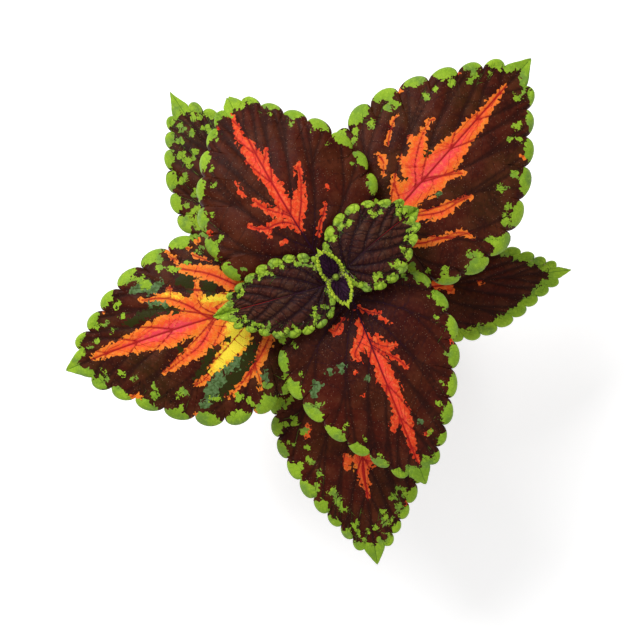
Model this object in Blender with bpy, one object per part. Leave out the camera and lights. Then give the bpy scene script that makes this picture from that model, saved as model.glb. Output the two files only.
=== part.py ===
"""A potted coleus: nursery pot, root ball, square stem, five pairs of opposite leaves and a shoot tip.

Metres, +Z up. The origin is the middle of the pot's underside.
"""

import math
from dataclasses import dataclass

import bpy
import numpy as np

GAP = 0.0003  # clear space between pieces that touch on the real plant

POT_HEIGHT = 0.105
POT_RIM_RADIUS = 0.060
POT_SHOULDER_RADIUS = 0.0560
POT_FOOT_RADIUS = 0.0420
POT_WALL = 0.0018
POT_FLOOR = 0.0025
POT_RIM_DEPTH = 0.013
POT_BEAD = 0.0012  # thickness of the rolled edge
POT_EDGE = 0.0010  # rounding of the foot and slope under the rim
POT_SIDES = 48
DRAIN_HOLES = 8
DRAIN_RADIUS = 0.0045
DRAIN_RING = 0.0320
DRAIN_SIDES = 12

SOIL_LEVEL = 0.0915
SOIL_CROWN = 0.0016  # rise towards the stem
SOIL_SHOULDER = 0.0040  # height of the rounded edge
SOIL_INSET = 0.0012  # of the rounded edge from the side
SOIL_LUMPS = (  # lobes round the pot, turn per metre outwards, phase, height
    (3, 220.0, 0.0, 0.0007),
    (7, -310.0, 1.3, 0.0005),
    (13, 500.0, 0.0, 0.0004),
)
SOIL_RINGS = 6
SOIL_SIDES = 40

STEM_FOOT = 0.0450
STEM_TOP = 0.2570
STEM_HALF_FOOT = 0.0043
STEM_HALF_TOP = 0.0024
STEM_TURN = 35.0  # azimuth of the stem face that carries the right-hand leaves, degrees
STEM_CORNER = 0.35  # corner radius as a share of the half side
STEM_CORNER_POINTS = 4
STEM_ROOT_TAPER = 0.8  # width of the buried end against the stem above it
STEM_HOLE_RADIUS = 0.0062
NODE_SWELLING = 0.0006
NODE_HALF_HEIGHT = 0.0036
NODE_SLOPE = 0.0030  # height over which the swelling dies away
BOTTOM_NODE = 0.1340
LOWER_NODE = 0.1640
MIDDLE_NODE = 0.1960
UPPER_NODE = 0.2260
SMALL_NODE = 0.2480

BUD_LENGTH = 0.0080
BUD_RADIUS = 0.0014
BUD_RISE = 0.0050  # of an axil bud's foot above its node
BUD_LEAN = 24.0  # from upright, degrees
BUD_ARC = (0.22, 0.96)  # part of a half sine that its outline takes
BUD_RINGS = 6
BUD_SIDES = 8
SHOOT_BUD = (  # radius and rise of the bud between the youngest leaves
    (0.0019, 0.0),
    (0.0024, 0.0030),
    (0.0026, 0.0060),
    (0.0021, 0.0085),
    (0.0010, 0.0105),
    (0.0, 0.0112),
)
SHOOT_BUD_SIDES = 12

STALK_FOOT_RADIUS = 0.0027
STALK_RADIUS = 0.0018
STALK_COLLAR = 0.0008  # straight first length, square to the stem's face
STALK_FLARE = 0.0040  # length over which the foot narrows
STALK_SWING = (0.38, 0.30)  # how far it keeps its first and its last direction, as shares of its reach
STALK_SIDES = 8
STALK_RINGS = 6
RIB_TIP_RADIUS = 0.0005
RIB_SINK = 0.00005  # of the rib's crown below the middle of the blade
RIB_SPACING = 0.05  # least distance between its rings, as a share of the blade's length

VEIN_SPREAD = 2.1  # how much closer together the veins start near the base
VEIN_BEND = 1.2  # how much each vein bends towards the tip
MARGIN_START = 0.07  # share of the half outline below the first tooth
FIRST_TEETH = 1.8  # teeth over which they grow to their full height
CROWDING = 0.25  # how much smaller the first and last teeth are
TOOTH_LEAN = 0.35  # forward lean of a tooth as a share of its height
TIP_ROWS = 3
RINGS = (0.45, 0.85)  # shares of the way from the midrib to the margin
RIGHT_HALF_PHASE = 1.7  # of the margin's waves against the left half, radians
DROOP_SHAPE = 1.3  # above 1, the midrib bends more towards the tip
BASE_CORNER = 0.35  # fullness of the two lobes beside the stalk
LOBE_REACH = 0.55  # how far back the lobes stay wide, as a share of the notch
TIP_SHOULDER = 0.80  # where the outline turns in to the point
OUTLINE_STEPS = 120
MIDRIB_STEPS = 100


@dataclass(frozen=True)
class Leaf:
    """One leaf. Pairs of values are (left, right) seen from above, looking from the base to the tip."""

    name: str
    node: float  # height of its node on the stem
    face: float  # azimuth of the stem face it grows from, degrees
    base: tuple  # where the stalk meets the blade
    heading: float  # azimuth of the midrib at the base, degrees
    length: float
    half_width: tuple  # with the teeth
    pitch: tuple  # slope of the midrib at the base and at the tip, degrees
    teeth: int  # on each half
    tooth: float  # height of a tooth
    tip: float  # share of the half outline that the plain point takes
    widest: float  # where the blade is widest, as a share of its length
    shoulder: float  # how far the width holds on towards the tip
    point: tuple  # fullness near the tip
    heart: float  # depth of the notched base
    sweep: float = 0.0  # turn of the midrib to the left on its way to the tip, degrees
    fold: float = 0.08  # rise of each half beside the midrib
    cup: float = 0.22  # fall of the margins
    wave: float = 0.0022  # height of the waves along the margin
    waves: float = 3.0
    thickness: float = 0.0008
    tooth_points: int = 4


RIGHT = STEM_TURN
BACK = STEM_TURN + 90.0
LEFT = STEM_TURN + 180.0
FRONT = STEM_TURN + 270.0

LEAVES = (
    Leaf("small_leaf_right", SMALL_NODE, RIGHT, base=(0.0061, 0.0051, 0.2640), heading=45.0, length=0.062,
         half_width=(0.0278, 0.0266), pitch=(12.0, -38.0), teeth=8, tooth=0.0027, tip=0.13, widest=0.34,
         shoulder=0.30, point=(0.10, 0.10), heart=0.10, sweep=-10.0, fold=0.10, cup=0.28, wave=0.0012,
         waves=4.0),
    Leaf("small_leaf_left", SMALL_NODE, LEFT, base=(-0.0067, -0.0053, 0.2640), heading=195.0, length=0.075,
         half_width=(0.0260, 0.0248), pitch=(2.0, -28.0), teeth=9, tooth=0.0028, tip=0.17, widest=0.30,
         shoulder=0.30, point=(0.08, 0.08), heart=0.08, fold=0.12, cup=0.30, wave=0.0012, waves=4.0),
    Leaf("upper_leaf_back", UPPER_NODE, BACK, base=(-0.0122, 0.0149, 0.2500), heading=124.0, length=0.121,
         half_width=(0.0560, 0.0592), pitch=(10.0, -35.0), teeth=10, tooth=0.0044, tip=0.06, widest=0.30,
         shoulder=0.28, point=(0.15, 0.18), heart=0.16, sweep=-10.0, fold=0.10, cup=0.26),
    Leaf("upper_leaf_front", UPPER_NODE, FRONT, base=(0.0101, -0.0124, 0.2500), heading=292.0, length=0.135,
         half_width=(0.0553, 0.0585), pitch=(8.0, -37.0), teeth=10, tooth=0.0044, tip=0.08, widest=0.24,
         shoulder=0.26, point=(0.12, 0.15), heart=0.14, fold=0.10, cup=0.26),
    Leaf("middle_leaf_right", MIDDLE_NODE, RIGHT, base=(0.0308, 0.0347, 0.2320), heading=48.5, length=0.148,
         half_width=(0.0630, 0.0690), pitch=(7.0, -23.0), teeth=10, tooth=0.0050, tip=0.09, widest=0.27,
         shoulder=0.25, point=(0.12, 0.10), heart=0.16),
    Leaf("middle_leaf_left", MIDDLE_NODE, LEFT, base=(-0.0426, -0.0146, 0.2310), heading=194.5, length=0.146,
         half_width=(0.0705, 0.0560), pitch=(5.0, -30.0), teeth=10, tooth=0.0050, tip=0.09, widest=0.28,
         shoulder=0.26, point=(0.12, 0.15), heart=0.16, sweep=8.0),
    Leaf("lower_leaf_back", LOWER_NODE, BACK, base=(-0.0381, 0.0202, 0.1950), heading=124.0, length=0.133,
         half_width=(0.0455, 0.0410), pitch=(4.0, -21.0), teeth=11, tooth=0.0036, tip=0.10, widest=0.34,
         shoulder=0.28, point=(0.11, 0.04), heart=0.14),
    Leaf("lower_leaf_front", LOWER_NODE, FRONT, base=(0.0114, -0.0537, 0.1950), heading=275.5, length=0.148,
         half_width=(0.0542, 0.0582), pitch=(0.0, -30.0), teeth=13, tooth=0.0036, tip=0.08, widest=0.26,
         shoulder=0.24, point=(0.13, 0.11), heart=0.14, sweep=4.0),
    Leaf("bottom_leaf_right", BOTTOM_NODE, RIGHT, base=(0.0531, -0.0049, 0.1660), heading=7.0, length=0.114,
         half_width=(0.0302, 0.0402), pitch=(6.0, -19.0), teeth=12, tooth=0.0030, tip=0.08, widest=0.32,
         shoulder=0.24, point=(0.10, 0.11), heart=0.12),
    Leaf("bottom_leaf_left", BOTTOM_NODE, LEFT, base=(-0.0493, -0.0124, 0.1660), heading=194.5, length=0.113,
         half_width=(0.0359, 0.0359), pitch=(2.0, -28.0), teeth=12, tooth=0.0030, tip=0.10, widest=0.32,
         shoulder=0.24, point=(0.12, 0.12), heart=0.12),
)
SHOOT_LEAVES = (
    Leaf("shoot_leaf_back", STEM_TOP, BACK, base=(-0.0006, 0.0010, 0.2640), heading=124.0, length=0.0215,
         half_width=(0.0075, 0.0075), pitch=(38.0, -20.0), teeth=7, tooth=0.0008, tip=0.16, widest=0.40,
         shoulder=0.25, point=(0.08, 0.08), heart=0.02, fold=0.15, cup=-0.55, wave=0.0, thickness=0.0006,
         tooth_points=2),
    Leaf("shoot_leaf_front", STEM_TOP, FRONT, base=(0.0006, -0.0010, 0.2640), heading=292.0, length=0.0215,
         half_width=(0.0075, 0.0075), pitch=(38.0, -20.0), teeth=7, tooth=0.0008, tip=0.18, widest=0.40,
         shoulder=0.25, point=(0.08, 0.08), heart=0.02, fold=0.15, cup=-0.55, wave=0.0, thickness=0.0006,
         tooth_points=2),
)


def clear_scene():
    for old in list(bpy.data.objects):
        bpy.data.objects.remove(old, do_unlink=True)


def finish(name, colour, roughness):
    """A plain surface; its colour is linear red, green and blue."""
    material = bpy.data.materials.new(name)
    material.use_nodes = True
    shader = material.node_tree.nodes["Principled BSDF"]
    shader.inputs["Base Color"].default_value = (*colour, 1.0)
    shader.inputs["Roughness"].default_value = roughness
    shader.inputs["Metallic"].default_value = 0.0
    return material


def solid(name, points, faces, material=None, sharp_above=60.0):
    """A new object; edges that turn by more than `sharp_above` degrees stay sharp."""
    mesh = bpy.data.meshes.new(name)
    mesh.from_pydata([tuple(p) for p in points], [], [tuple(f) for f in faces])
    mesh.shade_smooth()
    mesh.set_sharp_from_angle(angle=math.radians(sharp_above))
    made = bpy.data.objects.new(name, mesh)
    bpy.context.scene.collection.objects.link(made)
    if material:
        mesh.materials.append(material)
    return made


def apply_boolean(body, others, operation):
    """Joins or cuts `body` with every object of `others`, then removes them."""
    tools = bpy.data.collections.new("tools")
    for other in others:
        bpy.context.scene.collection.objects.unlink(other)
        tools.objects.link(other)
    modifier = body.modifiers.new(operation.lower(), "BOOLEAN")
    modifier.operation = operation
    modifier.solver = "EXACT"
    modifier.operand_type = "COLLECTION"
    modifier.collection = tools
    graph = bpy.context.evaluated_depsgraph_get()
    made = bpy.data.meshes.new_from_object(body.evaluated_get(graph))
    body.modifiers.remove(modifier)
    old = body.data
    body.data = made
    bpy.data.meshes.remove(old)
    for other in others:
        bpy.data.objects.remove(other, do_unlink=True)
    bpy.data.collections.remove(tools)
    return body


def on_circle(radius, angle, height):
    return (radius * math.cos(angle), radius * math.sin(angle), height)


def stacked(name, rings, material=None, sharp_above=60.0):
    """A closed solid through rings of equal count, from the lowest round to the last, with flat ends."""
    size = len(rings[0])
    points = [p for ring in rings for p in ring]
    faces = [tuple(range(size))[::-1], tuple(range(len(points) - size, len(points)))]
    for row in range(len(rings) - 1):
        for k in range(size):
            low, after = row * size + k, row * size + (k + 1) % size
            faces.append((low, after, after + size))
            faces.append((low, after + size, low + size))
    return solid(name, points, faces, material, sharp_above)


def turned(name, profile, sides, material=None):
    """A solid of revolution. The profile runs from the axis round the outside and back to the axis."""
    angles = [2 * math.pi * k / sides for k in range(sides)]
    points, rows = [], []
    for radius, height in profile:
        if radius == 0.0:
            rows.append([len(points)] * sides)
            points.append((0.0, 0.0, height))
            continue
        rows.append(list(range(len(points), len(points) + sides)))
        points += [on_circle(radius, a, height) for a in angles]
    faces = []
    for low, high in zip(rows, rows[1:]):
        for k in range(sides):
            after = (k + 1) % sides
            faces.append(tuple(dict.fromkeys([low[k], low[after], high[after], high[k]])))
    return solid(name, points, faces, material, 40.0)


def rod(name, centres, radii, sides):
    """A closed round rod along `centres`, with flat ends."""
    along = np.gradient(centres, axis=0)
    along /= np.linalg.norm(along, axis=1, keepdims=True)
    across = np.stack([-along[:, 1], along[:, 0], 0 * along[:, 0]], axis=1)
    across /= np.linalg.norm(across, axis=1, keepdims=True)
    above = np.cross(along, across)
    angles = 2 * math.pi * (np.arange(sides) + 0.5) / sides
    around = np.cos(angles)[:, None] * across[:, None] + np.sin(angles)[:, None] * above[:, None]
    return stacked(name, centres[:, None] + around * radii[:, None, None])


def bezier(a, b, c, d, share):
    share = share[:, None]
    rest = 1.0 - share
    a, b, c, d = (np.asarray(v, float) for v in (a, b, c, d))
    return rest**3 * a + 3 * rest**2 * share * b + 3 * rest * share**2 * c + share**3 * d


def smooth_outline(leaf, half):
    """Half outline without teeth, in blade lengths, from the base to the tip: along, outwards."""
    width = (leaf.half_width[half] - leaf.tooth) / leaf.length
    wide = (leaf.widest, width)
    share = np.linspace(0.0, 1.0, OUTLINE_STEPS)
    low = bezier((0, 0), (-leaf.heart, BASE_CORNER * width), (-LOBE_REACH * leaf.heart, width), wide, share)
    near_tip = (TIP_SHOULDER, 2 * width * leaf.point[half])
    high = bezier(wide, (leaf.widest + leaf.shoulder, width), near_tip, (1, 0), share)
    return np.vstack([low, high[1:]])


def outline_share(leaf, count):
    """Share of the half outline at tooth number `count`; past the last tooth it runs on to the tip."""
    even = np.clip(count / leaf.teeth, 0.0, 1.0)
    eased = even - CROWDING * even * (1 - even) * (1 - 2 * even)
    beyond = np.clip(count - leaf.teeth, 0.0, 1.0)
    return MARGIN_START + (1 - leaf.tip - MARGIN_START) * eased + leaf.tip * beyond


def margin(leaf, half, count):
    """Toothed margin at tooth numbers `count`, in blade lengths: along, outwards."""
    smooth = smooth_outline(leaf, half)
    arc = np.concatenate([[0.0], np.cumsum(np.linalg.norm(np.diff(smooth, axis=0), axis=1))])
    arc /= arc[-1]
    share = outline_share(leaf, count)
    step = 0.5 / OUTLINE_STEPS

    def at(where):
        return np.stack([np.interp(where, arc, smooth[:, 0]), np.interp(where, arc, smooth[:, 1])], axis=1)

    forward = at(share + step) - at(share - step)
    forward /= np.linalg.norm(forward, axis=1, keepdims=True)
    outward = np.stack([-forward[:, 1], forward[:, 0]], axis=1)
    lobe = np.sqrt(np.clip(1 - (2 * (count % 1.0) - 1) ** 2, 0.0, 1.0))
    lobe[count >= leaf.teeth] = 0.0
    lobe *= np.clip(count / FIRST_TEETH, 0.0, 1.0)
    return at(share) + (outward + TOOTH_LEAN * forward) * (lobe * leaf.tooth / leaf.length)[:, None]


def vein_start(share):
    """Share of the midrib where the vein that ends at `share` of the half outline leaves it."""
    return np.clip((share - MARGIN_START) / (1 - MARGIN_START), 0.0, 1.0) ** VEIN_SPREAD


def midrib(leaf, along):
    """Point, direction, left side and upper side of the midrib at shares `along` of its length."""
    fine = np.linspace(0.0, 1.0, MIDRIB_STEPS + 1)
    pitch = np.radians(leaf.pitch[0] + (leaf.pitch[1] - leaf.pitch[0]) * fine**DROOP_SHAPE)
    heading = np.radians(leaf.heading + leaf.sweep * fine)
    way = np.stack([np.cos(pitch) * np.cos(heading), np.cos(pitch) * np.sin(heading), np.sin(pitch)], axis=1)
    steps = (way[1:] + way[:-1]) / 2 * leaf.length / MIDRIB_STEPS
    path = np.array(leaf.base) + np.vstack([[0, 0, 0], np.cumsum(steps, axis=0)])
    inside = np.clip(along, 0.0, 1.0)
    place = np.stack([np.interp(inside, fine, path[:, k]) for k in range(3)], axis=1)
    ahead = np.stack([np.interp(inside, fine, way[:, k]) for k in range(3)], axis=1)
    ahead /= np.linalg.norm(ahead, axis=1, keepdims=True)
    place += ahead * ((along - inside) * leaf.length)[:, None]
    left = np.stack([-ahead[:, 1], ahead[:, 0], 0 * ahead[:, 0]], axis=1)
    left /= np.linalg.norm(left, axis=1, keepdims=True)
    return place, ahead, left, np.cross(ahead, left)


def blade_points(leaf, half, count, way_out):
    """Middle surface of one half at tooth numbers `count`, at share `way_out` from midrib to margin."""
    edge = margin(leaf, half, count)
    share = outline_share(leaf, count)
    start = vein_start(share)
    along = start + (edge[:, 0] - start) * way_out**VEIN_BEND
    outwards = edge[:, 1] * way_out * leaf.length
    place, _, left, above = midrib(leaf, along)
    ripple = np.sin(2 * math.pi * leaf.waves * share + RIGHT_HALF_PHASE * half) * np.sin(math.pi * share)
    lift = leaf.fold * outwards - leaf.cup * outwards**2 / np.mean(leaf.half_width)
    lift += leaf.wave * ripple * way_out**2
    side = 1.0 if half == 0 else -1.0
    return place + left * (side * outwards)[:, None] + above * lift[:, None]


def blade_rows(leaf):
    """Tooth numbers of the veins that the blade is split along: one a tooth, and a few in the tip."""
    return np.concatenate([np.arange(leaf.teeth), leaf.teeth + np.arange(TIP_ROWS) / TIP_ROWS])


def strip_to_margin(inner, after, run):
    """Triangles between two inner points and the run of margin points beside them."""
    middle = len(run) // 2
    faces = [(inner, run[k + 1], run[k]) for k in range(middle)]
    faces.append((inner, after, run[middle]))
    faces += [(after, run[k + 1], run[k]) for k in range(middle, len(run) - 1)]
    return faces


def blade_surface(leaf):
    """Points and triangles of the blade's middle surface, seen from above."""
    rows = blade_rows(leaf)
    spine_points = midrib(leaf, vein_start(outline_share(leaf, rows)))[0]
    tip_point = blade_points(leaf, 0, np.array([leaf.teeth + 1.0]), 1.0)
    toothed = np.arange(leaf.teeth * leaf.tooth_points) / leaf.tooth_points
    edge_counts = np.concatenate([toothed, rows[leaf.teeth:]])
    points = np.vstack([spine_points, tip_point])
    spine, tip = list(range(len(rows))), len(rows)
    faces = []
    for half in (0, 1):
        columns = [spine]
        for way_out in RINGS:
            columns.append(list(range(len(points), len(points) + len(rows))))
            points = np.vstack([points, blade_points(leaf, half, rows, way_out)])
        edge = list(range(len(points), len(points) + len(edge_counts))) + [tip]
        points = np.vstack([points, blade_points(leaf, half, edge_counts, 1.0)])
        half_faces = []
        start = 0
        for row in range(len(rows) - 1):
            steps = leaf.tooth_points if row < leaf.teeth else 1
            for inner, outer in zip(columns, columns[1:]):
                half_faces.append((inner[row], inner[row + 1], outer[row + 1]))
                half_faces.append((inner[row], outer[row + 1], outer[row]))
            run = edge[start:start + steps + 1]
            half_faces += strip_to_margin(columns[-1][row], columns[-1][row + 1], run)
            start += steps
        ends = [column[-1] for column in columns] + [edge[-2]]
        half_faces += [(inner, tip, outer) for inner, outer in zip(ends, ends[1:])]
        faces += half_faces if half == 0 else [f[::-1] for f in half_faces]
    return points, np.array(faces)


def corner_normals(points, faces):
    normals = np.zeros_like(points)
    flat = np.cross(points[faces[:, 1]] - points[faces[:, 0]], points[faces[:, 2]] - points[faces[:, 0]])
    for corner in range(3):
        np.add.at(normals, faces[:, corner], flat)
    return normals / np.linalg.norm(normals, axis=1, keepdims=True)


def blade(leaf, material=None):
    """The blade as a thin solid, split into triangles alike on both faces."""
    points, faces = blade_surface(leaf)
    offset = corner_normals(points, faces) * leaf.thickness / 2
    under = len(points)
    edges = {(int(a), int(b)) for f in faces for a, b in zip(f, np.roll(f, -1))}
    closed = [tuple(int(v) for v in f) for f in faces]
    closed += [tuple(int(v) + under for v in f[::-1]) for f in faces]
    for a, b in sorted(edges):
        if (b, a) not in edges:
            closed.append((b, a, a + under))
            closed.append((b, a + under, b + under))
    return solid(leaf.name, np.vstack([points + offset, points - offset]), closed, material)


def stem_half(height):
    """Half side of the square stem between its nodes."""
    share = (height - STEM_FOOT) / (STEM_TOP - STEM_FOOT)
    return STEM_HALF_FOOT + (STEM_HALF_TOP - STEM_HALF_FOOT) * share


def face_direction(leaf):
    turn = math.radians(leaf.face)
    return np.array([math.cos(turn), math.sin(turn), 0.0])


def stalk(leaf):
    """The leaf stalk, and the rib that it turns into under the blade."""
    outwards = face_direction(leaf)
    foot = outwards * (stem_half(leaf.node) + NODE_SWELLING + GAP) + np.array([0.0, 0.0, leaf.node])
    along = [0.0]
    for value in vein_start(outline_share(leaf, blade_rows(leaf)))[1:-1]:
        if value - along[-1] > RIB_SPACING:
            along.append(value)
    along = np.array(along)
    rib_radii = STALK_RADIUS + (RIB_TIP_RADIUS - STALK_RADIUS) * np.sqrt(along / along[-1])
    place, ahead, _, above = midrib(leaf, along)
    rib = place - above * (rib_radii + RIB_SINK)[:, None]
    reach = np.linalg.norm(rib[0] - foot)
    share = np.arange(STALK_RINGS) / STALK_RINGS
    collar = foot + outwards * STALK_COLLAR
    first, last = collar + outwards * STALK_SWING[0] * reach, rib[0] - ahead[0] * STALK_SWING[1] * reach
    bend = bezier(collar, first, last, rib[0], share)
    bend_radii = STALK_RADIUS + (STALK_FOOT_RADIUS - STALK_RADIUS) * np.exp(-share * reach / STALK_FLARE)
    radii = np.concatenate([[STALK_FOOT_RADIUS], bend_radii, rib_radii])
    return rod("stalk", np.vstack([foot, bend, rib]), radii, STALK_SIDES)


def leaf_with_stalk(leaf, material):
    return apply_boolean(blade(leaf, material), [stalk(leaf)], "UNION")


def pot():
    plastic = finish("moulded_plastic", (0.012, 0.012, 0.013), 0.55)
    under_rim = POT_HEIGHT - POT_RIM_DEPTH
    inner_rim = POT_RIM_RADIUS - 2 * POT_WALL
    bead = POT_BEAD / 2
    profile = [
        (0.0, 0.0),
        (POT_FOOT_RADIUS - POT_EDGE, 0.0),
        (POT_FOOT_RADIUS, POT_EDGE),
        (POT_SHOULDER_RADIUS, under_rim - POT_EDGE),
        (POT_RIM_RADIUS - POT_BEAD, under_rim),
        (POT_RIM_RADIUS - bead, POT_HEIGHT - 5 * bead),
        (POT_RIM_RADIUS, POT_HEIGHT - 3 * bead),
        (POT_RIM_RADIUS, POT_HEIGHT - bead),
        (POT_RIM_RADIUS - bead, POT_HEIGHT),
        (inner_rim + bead, POT_HEIGHT),
        (inner_rim, POT_HEIGHT - bead),
        (POT_SHOULDER_RADIUS - POT_WALL, under_rim - POT_EDGE),
        (POT_FOOT_RADIUS - POT_WALL, POT_FLOOR),
        (0.0, POT_FLOOR),
    ]
    body = turned("pot", profile, POT_SIDES, plastic)
    top = 2 * POT_FLOOR
    drill_profile = [(0.0, -POT_FLOOR), (DRAIN_RADIUS, -POT_FLOOR), (DRAIN_RADIUS, top), (0.0, top)]
    drills = []
    for k in range(DRAIN_HOLES):
        drill = turned("drill", drill_profile, DRAIN_SIDES)
        drill.location = on_circle(DRAIN_RING, 2 * math.pi * (k + 0.5) / DRAIN_HOLES, 0.0)
        drills.append(drill)
    bpy.context.view_layer.update()
    return apply_boolean(body, drills, "DIFFERENCE")


def soil_height(radius, azimuth):
    """Lumpy top of the potting mix, a little higher in the middle."""
    height = SOIL_LEVEL + SOIL_CROWN * (1.0 - radius / POT_RIM_RADIUS)
    for lobes, turn, phase, rise in SOIL_LUMPS:
        height += rise * math.sin(lobes * azimuth + turn * radius + phase)
    return height


def soil():
    mix = finish("potting_mix", (0.045, 0.028, 0.018), 0.95)
    wall_slope = (POT_SHOULDER_RADIUS - POT_FOOT_RADIUS) / (POT_HEIGHT - POT_RIM_DEPTH)
    foot = POT_FLOOR + GAP
    side_top = SOIL_LEVEL - SOIL_SHOULDER
    foot_radius = POT_FOOT_RADIUS - POT_WALL - 2 * GAP
    side_radius = foot_radius + wall_slope * (side_top - foot)
    edge_radius = side_radius - SOIL_INSET
    angles = [2 * math.pi * k / SOIL_SIDES for k in range(SOIL_SIDES)]
    rings = []
    for radius, height in ((foot_radius, foot), (side_radius, side_top)):
        rings.append([on_circle(radius, a, height) for a in angles])
    for radius in np.linspace(edge_radius, STEM_HOLE_RADIUS, SOIL_RINGS):
        rings.append([on_circle(radius, a, soil_height(radius, a)) for a in angles])
    rings.append([on_circle(STEM_HOLE_RADIUS, a, STEM_FOOT - GAP) for a in angles])
    return stacked("soil", rings, mix, 70.0)


def square_ring(half, height):
    """Points round the square stem at one height."""
    corner = half * STEM_CORNER
    reach = (half - corner) * math.sqrt(2)
    ring = []
    for quarter in range(4):
        middle = math.radians(90 * quarter + 45 + STEM_TURN)
        for step in range(STEM_CORNER_POINTS):
            angle = math.radians(90 * quarter + 90 * step / (STEM_CORNER_POINTS - 1) + STEM_TURN)
            x = reach * math.cos(middle) + corner * math.cos(angle)
            y = reach * math.sin(middle) + corner * math.sin(angle)
            ring.append((x, y, height))
    return ring


def axil_bud(leaf):
    """A small bud on the stem's face, just above the stalk."""
    lean = math.radians(BUD_LEAN)
    outwards = face_direction(leaf)
    foot = outwards * (stem_half(leaf.node) - BUD_RADIUS / 2) + np.array([0.0, 0.0, leaf.node + BUD_RISE])
    way = outwards * math.sin(lean) + np.array([0.0, 0.0, math.cos(lean)])
    share = np.linspace(0.0, 1.0, BUD_RINGS)
    radii = BUD_RADIUS * np.sin(math.pi * (BUD_ARC[0] + (BUD_ARC[1] - BUD_ARC[0]) * share))
    return rod("bud", foot + way * (share * BUD_LENGTH)[:, None], radii, BUD_SIDES)


def stem():
    bark = finish("square_stem", (0.16, 0.045, 0.060), 0.5)
    levels = [(STEM_FOOT, STEM_HALF_FOOT * STEM_ROOT_TAPER), (STEM_FOOT + NODE_SLOPE, STEM_HALF_FOOT)]
    for node in (BOTTOM_NODE, LOWER_NODE, MIDDLE_NODE, UPPER_NODE, SMALL_NODE):
        swollen = stem_half(node) + NODE_SWELLING
        foot, head = node - NODE_HALF_HEIGHT, node + NODE_HALF_HEIGHT
        levels.append((foot - NODE_SLOPE, stem_half(foot - NODE_SLOPE)))
        levels += [(foot, swollen), (head, swollen)]
        levels.append((head + NODE_SLOPE, stem_half(head + NODE_SLOPE)))
    levels.append((STEM_TOP, stem_half(STEM_TOP)))
    body = stacked("stem", [square_ring(half, height) for height, half in levels], bark, 50.0)
    return apply_boolean(body, [axil_bud(leaf) for leaf in LEAVES if leaf.node < UPPER_NODE], "UNION")


def shoot_tip():
    young = finish("young_leaf", (0.20, 0.33, 0.03), 0.45)
    base = STEM_TOP + GAP
    profile = [(0.0, base)] + [(radius, base + rise) for radius, rise in SHOOT_BUD]
    bud = turned("shoot_tip", profile, SHOOT_BUD_SIDES, young)
    return apply_boolean(bud, [blade(leaf) for leaf in SHOOT_LEAVES], "UNION")


def build():
    clear_scene()
    pot()
    soil()
    stem()
    shoot_tip()
    for leaf in LEAVES:
        leaf_with_stalk(leaf, finish(leaf.name, (0.060, 0.014, 0.012), 0.45))


build()
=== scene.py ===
"""The looks of a potted coleus. Metres, except where a name or a comment says millimetres."""

import math
from dataclasses import dataclass

import bpy
import numpy as np
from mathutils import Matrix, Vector
from mathutils.bvhtree import BVHTree
from mathutils.geometry import barycentric_transform


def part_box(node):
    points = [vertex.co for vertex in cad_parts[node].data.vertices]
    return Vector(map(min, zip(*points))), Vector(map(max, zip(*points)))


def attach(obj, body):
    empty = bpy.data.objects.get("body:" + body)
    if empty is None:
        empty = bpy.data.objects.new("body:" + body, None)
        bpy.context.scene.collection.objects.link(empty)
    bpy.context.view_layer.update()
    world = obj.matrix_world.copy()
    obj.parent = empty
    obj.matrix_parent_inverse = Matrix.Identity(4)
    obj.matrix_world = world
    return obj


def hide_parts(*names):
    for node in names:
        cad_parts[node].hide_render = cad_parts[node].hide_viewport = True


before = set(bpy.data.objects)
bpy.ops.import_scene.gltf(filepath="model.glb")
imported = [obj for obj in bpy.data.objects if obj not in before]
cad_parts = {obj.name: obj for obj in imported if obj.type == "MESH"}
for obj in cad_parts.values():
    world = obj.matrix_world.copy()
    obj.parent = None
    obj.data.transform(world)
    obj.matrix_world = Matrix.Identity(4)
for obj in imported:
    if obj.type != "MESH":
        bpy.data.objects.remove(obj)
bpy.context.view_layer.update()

MM = 0.001


# Pot: a thin black nursery pot with a rolled rim, ribs under it and drain holes in its foot.
# It is injection moulded in polypropylene, so its wall tapers and every edge is slightly round.

POT_LOW, POT_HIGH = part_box("pot")
POT_HEIGHT = POT_HIGH.z
POT_RIM = POT_HIGH.x
POT_SHOULDER = 0.0560
POT_FOOT = 0.0420
POT_WALL = 0.0018
POT_FLOOR = 0.0025
POT_RIM_DEPTH = 0.013
POT_BEAD = 0.0006  # radius of the rolled edge
POT_BAND_HEIGHTS = (0.018, 0.024)  # two raised lines round the foot
POT_BAND = 0.0004
POT_SIDES = 128
DRAIN_HOLES = 8
DRAIN_RADIUS = 0.0045
DRAIN_RING = 0.0320
DRAIN_SIDES = 24
POT_RIBS = 32
POT_RIB_LENGTH = 0.016
POT_RIB_WIDTH = 0.0012
POT_RIB_DEPTH = 0.0006
POT_RIB_ROOT = 0.0006  # how far a rib reaches into the wall
POT_RIB_EDGE = 0.0003  # chamfer
POT_SHARP = 40.0  # degrees between two faces from which their edge looks sharp


def linear(hex_colour):
    """Linear red, green, blue and alpha of an sRGB colour."""
    values = [int(hex_colour[k:k + 2], 16) / 255 for k in (1, 3, 5)]
    return [v / 12.92 if v <= 0.04045 else ((v + 0.055) / 1.055) ** 2.4 for v in values] + [1.0]


def fill(tree, made, inputs):
    """Gives a node's sockets, by name or number, a value, another node's first output or a socket."""
    for key, value in inputs.items():
        value = value.outputs[0] if isinstance(value, bpy.types.Node) else value
        if isinstance(value, bpy.types.NodeSocket):
            tree.links.new(value, made.inputs[key])
        else:
            made.inputs[key].default_value = value


def node(tree, kind, inputs=None, **settings):
    """Adds a node with its settings and links."""
    made = tree.nodes.new(kind)
    for key, value in settings.items():
        setattr(made, key, value)
    fill(tree, made, inputs or {})
    return made


def plain_material(name):
    """A new material and its tree."""
    material = bpy.data.materials.new(name)
    material.use_nodes = True
    return material, material.node_tree


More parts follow.
